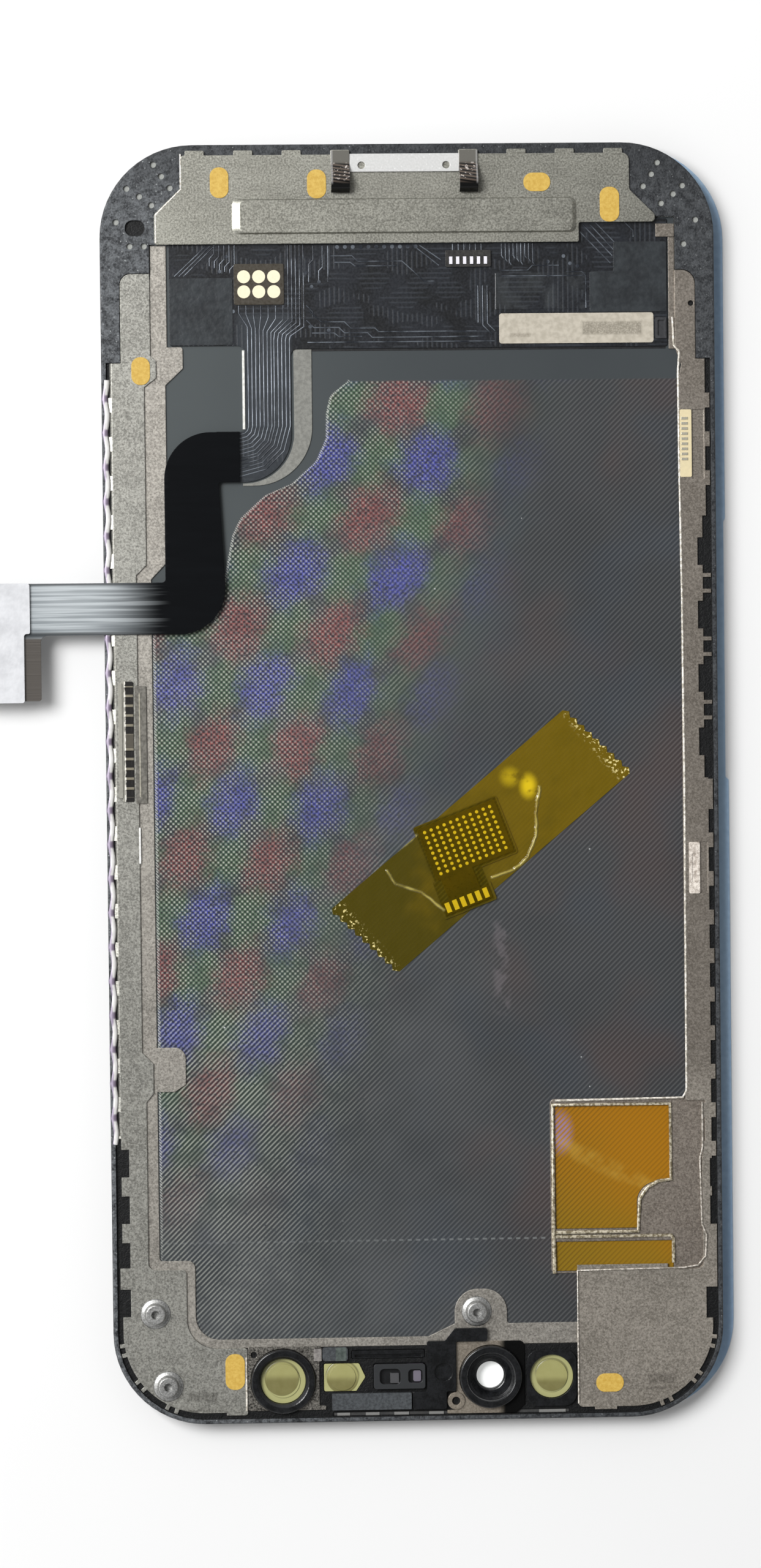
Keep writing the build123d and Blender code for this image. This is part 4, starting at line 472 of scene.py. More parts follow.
def plainFinish(name):
    look = plainLooks[name]
    material, place = startFinish(name)
    grain = place.stretched(*look.get("streak", (1.0, 1.0))).noise(look["size"], 3, 0.6)
    fine = place.noise(look["size"] * 0.22, 2)
    values = {"Base Color": (grain * 0.7 + fine * 0.3).smooth(0.35, 0.65).mix(*look["colours"]),
              "Roughness": fine * 0.12 + look["roughness"]}
    return endFinish(material, place, values, fine, look["size"] * 0.01, 0.06)


# finishes with two colours: the second begins above a height, in millimetres
tallLooks = {
    "padBlock": {"low": (44, 38, 28), "high": (236, 226, 196), "above": 2.43, "roughness": 0.2},
    "pinBlock": {"low": (24, 25, 28), "high": (226, 224, 232), "above": 2.56, "roughness": 0.15},
    # the edge strip's low rail is painted dark as the shadow in its groove
    "edgeStripMetal": {"low": (40, 42, 45), "high": (158, 158, 156), "above": 2.26,
                       "roughness": 0.25, "metal": 0.6},
    "chipFlex": {"low": (16, 17, 18), "high": (255, 255, 236), "above": 2.247, "roughness": 0.2},
    # the clip's top faces above 2.62 are near white with a painted highlight
    "goldClip": {"low": (216, 202, 164), "high": (250, 244, 222), "above": 2.62,
                 "roughness": 0.15, "metal": 0.8},
}
dulling = (120, 116, 108)


def tallFinish(name):
    look = tallLooks[name]
    material, place = startFinish(name)
    x, y, z = place.parts()
    grain = place.noise(0.3, 2)
    high = z.smooth(look["above"] - 0.008, look["above"] + 0.008)
    base = (grain * 0.25).mix(high.mix(look["low"], look["high"]), dulling)
    values = {"Base Color": base, "Roughness": grain * 0.2 + look["roughness"],
              "Metallic": high * look.get("metal", 0.0)}
    return endFinish(material, place, values, grain, 0.006, 0.04)


# the films of the three sensors: middle of the ring, its radius, and where the lower half turns darker with
# painted shade
lensLook = {"rim": (156, 155, 106), "upper": (142, 139, 88), "lower": (102, 97, 54),
            "grooveShadow": (82, 78, 44), "paintedGlint": (190, 188, 140)}
lensPlaces = {"infraredFilm": (-15.0, -64.4, 1.85, -64.2), "projectorFilm": (14.4, -64.5, 1.75, -64.9),
              "floodFilm": (-8.4, -64.35, 1.75, -64.4)}


def lensFinish(name):
    look = lensLook
    cx, cy, radius, shadeY = lensPlaces[name]
    material, place = startFinish(name)
    x, y, z = place.parts()
    away = place.reach(cx, cy)
    inner = away.smooth(radius + 0.05, radius - 0.05)
    # painted shade: the lower half of each film is darker
    tone = y.smooth(shadeY - 0.5, shadeY + 0.4).mix(look["lower"], look["upper"])
    grooveShadow = away.between(radius - 0.12, radius + 0.02, radius + 0.06, radius + 0.2)
    base = inner.mix(look["rim"], tone)
    # painted shadow in the upper side of the groove round the ring
    base = (grooveShadow * y.smooth(cy - 0.6, cy + 0.8) * 0.7).mix(base, look["grooveShadow"])
    # painted glints scattered faintly over the film
    base = (place.noise(0.7, 2) * 0.15).mix(base, look["paintedGlint"])
    return endFinish(material, place, {"Base Color": base, "Roughness": 0.3, "Coat Weight": 0.3},
                     inner, 0.03, 0.08)


labelLook = {"paper": ((160, 153, 139), (178, 171, 157)), "fibre": 0.5, "blotch": 0.16,
             "patch": (18.9, 25.3, 48.5, 49.9), "patchTone": (84, 78, 64),
             "smudge": (11.0, 13.3, 48.3, 48.7), "smudgeTone": (104, 96, 82)}


def labelFinish():
    # a plain pale label with a soft dark patch and a smudge
    look = labelLook
    material, place = startFinish("labelPaper")
    fibre = place.noise(look["fibre"], 3)
    base = fibre.smooth(0.3, 0.7).mix(*look["paper"])
    blotch = place.noise(look["blotch"]).smooth(0.1, 0.7)
    base = (boxMask(place, look["patch"], 0.3) * blotch * 0.6).mix(base, look["patchTone"])
    base = (boxMask(place, look["smudge"], 0.2) * blotch * 0.5).mix(base, look["smudgeTone"])
    return endFinish(material, place, {"Base Color": base, "Roughness": 0.55}, fibre, 0.004, 0.05)


boardLook = {"film": ((9, 11, 14), (24, 27, 33)), "buried": (66, 71, 78), "buriedRate": 1.9,
             "neck": (-18.6, -12.7, 32, 51), "neckTone": (48, 53, 58),
             "chip": (9.5, 19.3, 51.3, 55.2), "chipTone": (66, 70, 72)}


def boardFinish():
    # dark film with the relief of the layers inside
    look = boardLook
    material, place = startFinish("boardFilm")
    x, y, z = place.parts()
    grain = place.noise(0.25, 3)
    base = (place.noise(3.0, 3) * 0.6 + grain * 0.4).smooth(0.35, 0.65).mix(*look["film"])
    # faint bundles of buried lines, some across and some upright
    bundle = place.stretched(0.6, 1.0).moved(40, 3).noise(2.6, 1)
    across = (y * look["buriedRate"]).wave().smooth(0.5, 0.9) * bundle.smooth(0.53, 0.57)
    upright = (x * look["buriedRate"]).wave().smooth(0.5, 0.9) * bundle.smooth(0.45, 0.41)
    buried = across + upright
    base = (buried * 0.24).mix(base, look["buried"])
    base = (boxMask(place, look["neck"], 0.8) * 0.6).mix(base, look["neckTone"])
    chip = boxMask(place, look["chip"], 0.08)
    cloud = place.stretched(1.0, 0.5).noise(1.4, 2).smooth(0.35, 0.7)
    base = (chip * cloud * 0.35).mix(base, look["chipTone"])
    values = {"Base Color": base, "Roughness": grain * 0.2 + 0.22, "Coat Weight": 0.2}
    return endFinish(material, place, values, chip + grain * 0.3 + buried * 0.3, 0.02, 0.06)


tailLook = {"black": ((2, 3, 5), (8, 10, 13)), "paintedSheen": ((98, 105, 110), (192, 198, 201)),
            "foot": ((132, 128, 123), (88, 84, 80)), "sheenFrom": (-27.0, -35.5),
            "headFrom": (-43.0, -37.0), "paleTop": (16.6, 20.8), "footBelow": (16.4, 16.1),
            "footTurn": (-43.2, -41.4), "lowerRim": (16.2, 16.4, 16.8, 17.0), "upperRim": (21.8, 22.0)}


def tailFinish():
    # black at the board, with a painted striped silver sheen standing for reflection towards the outer end;
    # the foot keeps its own grey
    look = tailLook
    material, place = startFinish("tailFilm")
    x, y, z = place.parts()
    grain = place.stretched(0.15, 1.0).noise(0.8, 3)
    lines = place.stretched(0.02, 1.0).noise(0.34, 2).smooth(0.42, 0.62)
    # painted sheen: the reflection on the black film, stronger towards the outer end and the top
    paintedSheen = (x - lines * 1.2).smooth(*look["sheenFrom"])
    middle = x.smooth(*look["headFrom"]) * 0.5 + y.smooth(*look["paleTop"]) * 0.3
    shine = (lines * 0.45 + grain * 0.25 + middle * 0.5).mix(*look["paintedSheen"])
    shine = y.smooth(*look["footBelow"]).mix(shine, x.smooth(*look["footTurn"]).mix(*look["foot"]))
    rim = y.between(*look["lowerRim"]).larger(y.smooth(*look["upperRim"]))
    base = (paintedSheen * (1 - rim * 0.7)).mix(grain.mix(*look["black"]), shine)
    values = {"Base Color": base, "Roughness": 0.28, "Metallic": paintedSheen * 0.3, "Specular IOR Level": 0.15}
    return endFinish(material, place, values, lines * paintedSheen + grain * 0.4, 0.01, 0.06)


holderLook = {"black": ((8, 9, 10), (22, 23, 25)), "outline": (58, 60, 62),
              "parts": ((70, 70, 72), (104, 99, 110)), "above": (2.72, 2.78),
              "partsLevel": (2.4, 2.5, 2.6, 2.66), "partsTurn": (-1.5, -1.3)}


def holderFinish():
    # black moulding with paler outlines and two small grey parts inside
    look = holderLook
    material, place = startFinish("holderBlack")
    x, y, z = place.parts()
    grain = place.noise(0.4, 2)
    base = (z.smooth(*look["above"]) * 0.5).mix(grain.mix(*look["black"]), look["outline"])
    base = z.between(*look["partsLevel"]).mix(base, x.smooth(*look["partsTurn"]).mix(*look["parts"]))
    return endFinish(material, place, {"Base Color": base, "Roughness": 0.3}, grain, 0.004, 0.08)


amberLook = {"tones": ((124, 98, 14), (150, 100, 4)), "line": (84, 60, 6), "lineRate": 1.75,
             "sheen": (190, 160, 70), "lilac": (150, 128, 170), "lilacAt": (15.6, -38)}


def amberFinish():
    # the window films: deep amber with fine rising lines, a slanting sheen and a lilac spot
    look = amberLook
    material, place = startFinish("amberFilm")
    x, y, z = place.parts()
    rising = ((x - y) * look["lineRate"]).wave()
    upper = (x * 0.5 + y + 31).smooth(-18, 8) * 0.7 + place.noise(5.0) * 0.3
    base = upper.smooth(0.1, 0.9).mix(*look["tones"])
    base = (rising.smooth(0.4, 0.9) * (0.3 + x.smooth(24, 15) * 0.25)).mix(base, look["line"])
    sheen = abs(x * 0.5 + y + 31.5).smooth(1.6, 0.2) * place.noise(2.0).smooth(0.3, 0.7)
    base = (sheen * 0.25).mix(base, look["sheen"])
    lilac = place.reach(*look["lilacAt"], 0.6).smooth(1.8, 0.6)
    base = (lilac * rising * 0.7).mix(base, look["lilac"])
    return endFinish(material, place, {"Base Color": base, "Roughness": 0.22, "Coat Weight": 0.4},
                     rising, 0.004)


# the amber tape over the chip: middle and turn of the tape and of the chip, and two spots of painted
# highlight
tapeLook = {
    "middle": (7.3, -6.2), "turn": 40.0, "ends": (15.3, 16.4), "chip": (5.6, -6.1), "chipTurn": 21.1,
    "paintedGlints": ((10.5, 0.7), (12.5, -0.3)), "olive": (84, 74, 8), "amber": (124, 102, 12),
    "line": (60, 52, 4), "glow": (246, 212, 30), "sparkle": (220, 205, 140),
    "creaseHighlight": (190, 176, 92), "through": (252, 242, 168), "cover": 0.62, "relief": 0.12,
}
# creases as places along their run
tapeCreases = [[(14.0, -0.4), (13.6, -3.2), (13.6, -5.6), (12.7, -8.0), (11.1, -9.4), (8.7, -10.2)],
               [(-2.7, -9.3), (-1.7, -10.8), (1.1, -11.7), (3.5, -13.7)], [(-2.6, -8.0), (0.7, -5.5)]]


def creaseMask(x, y, run, width):
    # 1 on the middle line of each stretch of the run
    mask = None
    for (x0, y0), (x1, y1) in zip(run, run[1:]):
        size = math.hypot(x1 - x0, y1 - y0)
        ux, uy = (x1 - x0) / size, (y1 - y0) / size
        along = (x - x0) * ux + (y - y0) * uy
        aside = abs((x - x0) * -uy + (y - y0) * ux)
        piece = aside.smooth(width, 0) * along.between(-0.2, 0.1, size - 0.1, size + 0.2)
        mask = mask.larger(piece) if mask else piece
    return mask


def tapeFinish():
    look = tapeLook
    material, place = startFinish("amberTape")
    x, y, z = place.parts()
    along = place.moved(*look["middle"]).turned(-look["turn"]).parts()[0]
    chipX, chipY = place.moved(*look["chip"]).turned(-look["chipTurn"]).parts()[:2]
    wavy = place.noise(1.2, 3)
    tone = (along * 0.03 + place.noise(4.0, 2)).smooth(0.2, 0.8).mix(look["olive"], look["amber"])
    tone = (((x - y) * amberLook["lineRate"]).wave() * 0.12).mix(tone, look["line"])
    near, far = look["paintedGlints"]
    # painted highlights: two bright yellow spots where the wrinkled tape mirrors the light
    paintedGlints = (place.reach(*near).smooth(1.5, 0.2) * 0.5).larger(place.reach(*far, 0.7).smooth(1.3, 0.2))
    tone = (paintedGlints * wavy.smooth(0.25, 0.5)).mix(tone, look["glow"])
    sparkle = place.noise(0.3, 1).smooth(0.57, 0.66) * abs(along).smooth(*look["ends"])
    tone = sparkle.mix(tone, look["sparkle"])
    creaseHighlight = None
    for run in tapeCreases:
        line = creaseMask(x + wavy * 0.5, y, run, 0.24)
        creaseHighlight = creaseHighlight.larger(line) if creaseHighlight else line
    # painted highlights along the creases
    tone = (creaseHighlight * (0.2 + place.noise(1.6).smooth(0.4, 0.6) * 0.5)).mix(tone, look["creaseHighlight"])
    # clearer over the chip and the head of its flex
    overChip = abs(chipX).smooth(4.9, 4.6) * abs(chipY).smooth(3.4, 3.1)
    overHead = abs(chipX + 2.2).smooth(2.9, 2.7) * chipY.between(-7.2, -6.9, -3.2, -2.9)
    cover = look["cover"] - overChip.larger(overHead) * 0.48 + (creaseHighlight + sparkle) * 0.3
    bump = wavy * 0.3 + creaseHighlight + place.noise(4.5).smooth(0.3, 0.7) * 0.5
    normal = place.node("Bump", {}, {"Strength": 1.0, "Distance": look["relief"] * mm, "Height": bump})
    film = place.node("BsdfPrincipled", {}, {"Base Color": tone, "Roughness": 0.16, "Coat Weight": 0.3,
                                             "Normal": normal})
    clear = place.node("BsdfTransparent", {}, {"Color": colour(*look["through"])})
    both = place.node("MixShader", {}, {0: cover, 1: clear, 2: film})
    place.node("OutputMaterial", {}, {"Surface": both})
    return material


coverLook = {"black": ((8, 9, 11), (15, 16, 19)), "light": (235, 236, 235),
             "glow": (0.4, 0.41, 0.4, 1), "bore": (7.75, -64.5), "radius": (1.62, 1.56)}


def coverFinish():
    # black glass, with a painted glow in the camera's bore that stands for the light seen through it
    look = coverLook
    material, place = startFinish("coverGlass")
    smudge = place.noise(14.0, 3)
    bore = place.reach(*look["bore"]).smooth(*look["radius"])
    # painted glow: the bore's disc is near white and gives off light
    base = bore.mix(smudge.mix(*look["black"]), look["light"])
    values = {"Base Color": base, "Roughness": smudge * 0.06 + 0.03,
              "Emission Color": bore.mix(black, look["glow"]), "Emission Strength": 1.0}
    return endFinish(material, place, values)


combLook = {
    "metal": ((104, 98, 82), (138, 132, 116)), "rail": ((132, 130, 122), (158, 156, 146)),
    "light": (236, 232, 222), "middle": (58, 54, 48), "slot": (14, 11, 9),
    "pitch": 1.06, "upperFirst": 10.49, "lowerFirst": -0.57, "upperFrom": (5.6, 5.8), "lowerFrom": (4.5, 4.3),
    "topEnd": (10.9, 11.1), "footEnd": (-0.9, -1.1), "middleSpan": (4.3, 4.5, 5.7, 5.9),
    "slotsFrom": (-30.98, -30.88), "railFrom": (-31.0, -31.08), "lightSpan": (-31.2, -31.16, -31.06, -31.02),
}


def combFinish():
    # two groups of slots painted dark with shade beside a pale rail, with a painted highlight line along the
    # rail's edge
    look = combLook
    material, place = startFinish("combMetal")
    x, y, z = place.parts()
    grain = place.noise(0.25, 2)

    def slotRow(first, start):
        return ((y - first) * (1 / look["pitch"])).wave().smooth(0.04, 0.24) * y.smooth(*start)

    upper = slotRow(look["upperFirst"], look["upperFrom"])
    rows = upper.larger(slotRow(look["lowerFirst"], look["lowerFrom"]))
    inner = (x + place.moved(0, 3).noise(0.5) * 0.3).smooth(*look["slotsFrom"])
    shadedSlots = inner * (rows + y.smooth(*look["topEnd"]) + y.smooth(*look["footEnd"])).smooth(0, 1)
    base = x.smooth(*look["railFrom"]).mix(grain.mix(*look["metal"]), grain.mix(*look["rail"]))
    # painted highlight: a near white line along the rail's edge
    base = x.between(*look["lightSpan"]).mix(base, look["light"])
    base = (inner * y.between(*look["middleSpan"]) * 0.8).mix(base, look["middle"])
    # painted shade: the slots and the caps at both ends are nearly black
    base = shadedSlots.mix(base, look["slot"])
    return endFinish(material, place, {"Base Color": base, "Metallic": 0.3, "Roughness": 0.4},
                     grain, 0.004, 0.05)


latchLook = {
    "bar": ((196, 196, 194), (226, 226, 225)), "black": (10, 10, 10),
    "ribReflections": ((16, 13, 11), (86, 76, 68)), "glint": (190, 182, 176), "root": (108, 106, 100),
    "middle": -0.27, "hooksFrom": (5.85, 5.95), "outerEdge": (7.66, 7.8), "edgeFrom": (64.6, 65.0),
    "ribsFrom": (64.7, 65.1), "ribRate": 2.6, "glintFrom": (65.0, 65.4), "rootFrom": (66.9, 67.3),
}


def latchFinish():
    # a painted reflection makes the bar bright; the bent hooks carry painted reflections of dark ribs,
    # painted glints, a painted highlight on their outer edges and painted shadow on their front faces
    look = latchLook
    material, place = startFinish("latchSteel")
    x, y, z = place.parts()
    grain = place.noise(0.2, 2)
    aside = abs(x - look["middle"])
    ribReflections = ((y + x * 0.15) * look["ribRate"]).wave().smooth(0.3, 0.7)
    # painted shadow: the hooks' front faces below the ribs are black
    dark = y.smooth(*look["ribsFrom"]).mix(look["black"], ribReflections.mix(*look["ribReflections"]))
    glints = place.noise(0.35, 2).smooth(0.6, 0.68) * y.smooth(*look["glintFrom"])
    dark = glints.mix(dark, look["glint"])
    dark = y.smooth(*look["rootFrom"]).mix(dark, look["root"])
    edge = aside.smooth(*look["outerEdge"]) * y.smooth(*look["edgeFrom"])
    base = (aside.smooth(*look["hooksFrom"]) * (1 - edge * 0.3)).mix(grain.mix(*look["bar"]), dark)
    return endFinish(material, place, {"Base Color": base, "Metallic": 0.3, "Roughness": grain * 0.1 + 0.2},
                     grain, 0.004, 0.08)


nodeFinishes = {
    "framePlastic": ["bezel_frame"],
    "leftSteel": ["left_side_plate"],
    "retainerSteel": ["inner_retainer"],
    "bracketSteel": ["top_bracket"],
    "rightSteel": ["right_side_plate", "end_strip"],
    "windowSteel": ["window_plate"],
    "bracketDark": ["ring_bracket"],
    "beigeSteel": ["camera_bracket"],
    "brightSteel": ["left_standoff", "corner_standoff", "lobe_standoff"],
    "clipPale": ["lower_side_contact"],
    "panelBack": ["rear_film"],
    "blueFilm": ["protective_film"],
    "coverGlass": ["cover_glass"],
    "clearSheet": ["optical_adhesive"],
    "polarizerSheet": ["front_polarizer", "rear_polarizer"],
    "panelGlass": ["colour_filter_glass", "array_glass"],
    "whiteSheet": ["upper_prism_film", "lower_prism_film", "diffuser_film", "light_guide", "reflector_film",
                   "led_strip"],
    "chipBlack": ["driver_chip", "flex_connector", "small_connector"],
    "boardFilm": ["driver_board"],
    "chipFlex": ["chip_flex"],
    "padBlock": ["pad_block"],
    "pinBlock": ["pin_connector"],
    "combMetal": ["comb_contact"],
    "edgeStripMetal": ["edge_strip"],
    "goldClip": ["upper_side_contact"],
    "flexFilm": ["panel_fold_flex"],
    "foamBlack": ["flex_foam"],
    "foamGrey": ["foam_pads"],
    "whiteCover": ["connector_cover"],
    "seatBlack": ["infrared_ring", "camera_ring", "projector_seat", "earpiece_bar", "sensor_bracket"],
    "holderBlack": ["sensor_holder"],
    "blackTape": ["board_tape", "end_tape"],
    "labelPaper": ["board_label"],
    "beigeStrip": ["neck_strip"],
    "goldPad": ["ground_pads"],
    "amberFilm": ["upper_amber_film", "lower_amber_film"],
    "amberTape": ["amber_tape"],
    "infraredFilm": ["infrared_film"],
    "projectorFilm": ["projector_film"],
    "floodFilm": ["flood_window"],
    "tailFilm": ["flex_tail"],
    "latchSteel": ["latch_bar"],
}
ownFinishes = {
    "framePlastic": plasticFinish, "panelBack": panelFinish, "labelPaper": labelFinish,
    "boardFilm": boardFinish, "tailFilm": tailFinish, "holderBlack": holderFinish,
    "amberFilm": amberFinish, "amberTape": tapeFinish, "coverGlass": coverFinish,
    "latchSteel": latchFinish, "combMetal": combFinish,
}


def makeFinish(name):
    if name in ownFinishes:
        return ownFinishes[name]()
    for looks, make in ((steelTones, steelFinish), (tallLooks, tallFinish), (lensPlaces, lensFinish)):
        if name in looks:
            return make(name)
    return plainFinish(name)


def dressNodes():
    for name, nodes in nodeFinishes.items():
        material = makeFinish(name)
        for node in nodes:
            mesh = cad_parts[node].data
            mesh.materials.clear()
            mesh.materials.append(material)


dressNodes()
print("nodes are dressed")


def addPiece(name, mesh, material):
    piece = bpy.data.objects.new(name, mesh)
    bpy.context.scene.collection.objects.link(piece)
    mesh.materials.append(material)
    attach(piece, "root")


def meshOf(name, shape):
    mesh = bpy.data.meshes.new(name)
    shape.to_mesh(mesh)
    shape.free()
    return mesh


def addBox(shape, x0, x1, y0, y1, z0, z1):
    # a box between two corners
    made = bmesh.ops.create_cube(shape, size=1.0)["verts"]
    bmesh.ops.scale(shape, verts=made, vec=Vector((x1 - x0, y1 - y0, z1 - z0)) * mm)
    bmesh.ops.translate(shape, verts=made, vec=Vector((x0 + x1, y0 + y1, z0 + z1)) * mm / 2)


def addDisc(shape, x, y, radius, z0, z1, sides=14):
    made = bmesh.ops.create_cone(shape, cap_ends=True, segments=sides, radius1=radius * mm,
                                 radius2=radius * mm, depth=(z1 - z0) * mm)["verts"]
    bmesh.ops.translate(shape, verts=made, vec=Vector((x, y, (z0 + z1) / 2)) * mm)


def wireMesh(name, lines, width, level, flat=0.5):
    # thin rods along lines on the plan, flattened, with their middle at one height
    data = bpy.data.curves.new(name, "CURVE")
    data.dimensions = "3D"
    data.bevel_depth = width / 2 * mm
    data.bevel_resolution = 1
    data.use_fill_caps = True
    for line in lines:
        spline = data.splines.new("POLY")
        spline.points.add(len(line) - 1)
        for point, (x, y) in zip(spline.points, line):
            point.co = (x * mm, y * mm, 0, 1)
    holder = bpy.data.objects.new(name, data)
    bpy.context.scene.collection.objects.link(holder)
    bpy.context.view_layer.update()
    mesh = bpy.data.meshes.new_from_object(holder.evaluated_get(bpy.context.evaluated_depsgraph_get()))
    bpy.data.objects.remove(holder)
    mesh.transform(Matrix.Translation((0, 0, level * mm)) @ Matrix.Diagonal((1, 1, flat, 1)))
    return mesh


# raised lines on the driver board and down its neck
traceLook = {"level": 2.29, "width": 0.13, "dark": (34, 38, 45), "pale": (134, 141, 150),
             "brightBox": (-19.5, -10.5, 36, 52), "brightTop": (52, 46), "brightFoot": (36, 43)}
neckLook = {"left": -17.35, "pitch": 0.42, "foot": 48.2, "bend": (-18.2, 38.9), "end": -20.4}
# the neck's lines in two groups: a number and then the step from one line to the next
neckGroups = [
    {"count": 7, "aside": 0.0, "lean": 0.0, "start": 51.9,
     "top": (-18.3, 0.8), "turn": (51.1, -0.12), "out": (49.6, -0.1)},
    {"count": 5, "aside": -0.12, "lean": 0.1, "start": 58.4,
     "top": (-12.95, 0.42), "turn": (50.4, -0.2), "out": (49.0, -0.1)},
]
# fans of like lines: how many, and each point's place and step
lineFans = [
    (3, [(-25.2, 55.1, 0.5, 0), (-21.7, 58.4, 0.45, 0)]),
    (5, [(-20.9, 58.4, 0.55, 0), (-20.9, 57.5, 0.55, -0.3), (-21.4, 57.0, 0.55, -0.3),
         (-21.4, 56.2, 0.55, -0.2)]),
    (6, [(4.9, 58.4, 0.62, 0), (4.9, 57.7, 0.62, 0)]),
]
# a row of bent lines whose length repeats after every third
bentRow = {"count": 9, "left": 10.2, "pitch": 0.42, "top": 58.4, "turn": 57.1, "drop": 0.35,
           "bend": (0.2, -0.3)}
singleLines = [
    [(-8.6, 58.3), (-8.6, 54.4)], [(-9.2, 58.3), (-9.2, 56.0), (-9.6, 55.6), (-9.6, 54.6)],
    [(-10.2, 58.3), (-10.2, 56.8), (-10.7, 56.3), (-10.7, 54.4)],
    [(-8.3, 57.2), (-6.0, 57.2), (-5.4, 56.6), (-0.6, 56.6), (1.8, 54.4), (2.9, 54.4)],
    [(-7.9, 56.5), (-6.2, 56.5), (-5.7, 56.1), (-1.0, 56.1)],
    [(0.6, 58.3), (3.4, 56.1)], [(1.3, 58.3), (3.6, 56.7)],
    [(-11.0, 50.3), (-10.2, 49.5), (-7.5, 49.5), (-6.9, 48.9), (-4.4, 48.9), (-3.9, 48.4), (7.6, 48.4)],
    [(-10.7, 51.3), (-9.4, 50.1), (-6.9, 50.1), (-6.2, 49.4), (-3.6, 49.4), (-3.2, 49.0), (7.4, 49.0)],
    [(-10.4, 48.9), (-8.0, 48.9), (-7.5, 48.5), (-5.0, 48.5)], [(-10.9, 47.9), (9.4, 47.9)],
    [(8.6, 53.9), (8.6, 49.8), (9.4, 49.0)], [(8.1, 53.9), (8.1, 49.6), (9.1, 48.6)],
    [(7.6, 53.9), (7.6, 49.9)], [(-11.0, 51.9), (-10.3, 51.2), (-10.3, 50.6)],
    [(20.4, 60.6), (22.6, 58.3)], [(19.7, 60.5), (22.4, 57.6)], [(19.0, 60.4), (22.2, 57.0)],
    [(18.7, 59.6), (22.0, 56.2)], [(23.3, 60.9), (24.5, 59.7), (24.5, 59.0)],
    [(10.1, 54.9), (19.1, 54.9)], [(10.1, 55.5), (13.0, 55.5), (13.5, 56.0), (16.4, 56.0)],
    [(17.2, 55.3), (18.9, 55.3), (19.3, 54.9), (19.3, 51.4)],
]
# round vias: a row along the bracket, and single ones
viaLook = {"count": 11, "first": (-7.6, 58.15), "pitch": 0.85, "rowRadius": 0.22, "radius": 0.2,
           "levels": (2.28, 2.33)}
singleVias = [(-8.6, 49.2), (-10.6, 49.6), (-20.3, 55.6), (-19.6, 57.2), (16.9, 57.0), (17.6, 56.2),
              (18.4, 55.9), (15.2, 56.4), (-11.0, 55.4), (-10.4, 53.9), (-9.6, 54.4), (-18.9, 51.3)]


def neckLine(x, start):
    # down the neck, round its bend and out to the left
    cx, cy = neckLook["bend"]
    radius = x - cx
    bend = [(cx + radius * math.cos(math.radians(a)), cy - radius * math.sin(math.radians(a)))
            for a in (0, 30, 60, 90)]
    return start + [(x, neckLook["foot"])] + bend + [(neckLook["end"], cy - radius)]


def neckLines():
    lines = []
    for group in neckGroups:
        for k in range(group["count"]):
            x = neckLook["left"] + neckLook["pitch"] * len(lines) + group["aside"]
            top, turn, out = (first + step * k for first, step in (group["top"], group["turn"], group["out"]))
            lines.append(neckLine(x, [(top, group["start"]), (top, turn), (x + group["lean"], out)]))
    return lines


def boardLines():
    lines = neckLines() + singleLines
    for count, points in lineFans:
        lines += [[(x + dx * k, y + dy * k) for x, y, dx, dy in points] for k in range(count)]
    bendX, bendY = bentRow["bend"]
    for k in range(bentRow["count"]):
        x = bentRow["left"] + bentRow["pitch"] * k
        turn = bentRow["turn"] - bentRow["drop"] * (k % 3)
        lines.append([(x, bentRow["top"]), (x, turn), (x + bendX, turn + bendY)])
    return lines


def traceFinish():
    look = traceLook
    material, place = startFinish("traceRelief")
    x, y, z = place.parts()
    patch = place.noise(1.6, 2).smooth(0.35, 0.65)
    # painted highlight: the lines down the neck are brighter
    shine = boxMask(place, look["brightBox"], 1.0) * y.smooth(*look["brightTop"])
    shine = shine * y.smooth(*look["brightFoot"])
    tone = (shine * 0.5 + patch * 0.5).mix(look["dark"], look["pale"])
    return endFinish(material, place, {"Base Color": tone, "Roughness": 0.3, "Metallic": 0.3},
                     place.noise(0.2), 0.004)


def makeTraces():
    finish = traceFinish()
    traces = wireMesh("boardTraces", boardLines(), traceLook["width"], traceLook["level"])
    addPiece("boardTraces", traces, finish)
    vias = bmesh.new()
    x, y = viaLook["first"]
    for k in range(viaLook["count"]):
        addDisc(vias, x + viaLook["pitch"] * k, y, viaLook["rowRadius"], *viaLook["levels"])
    for x, y in singleVias:
        addDisc(vias, x, y, viaLook["radius"], *viaLook["levels"])
    addPiece("boardVias", meshOf("boardVias", vias), finish)


makeTraces()
print("driver board has its lines")


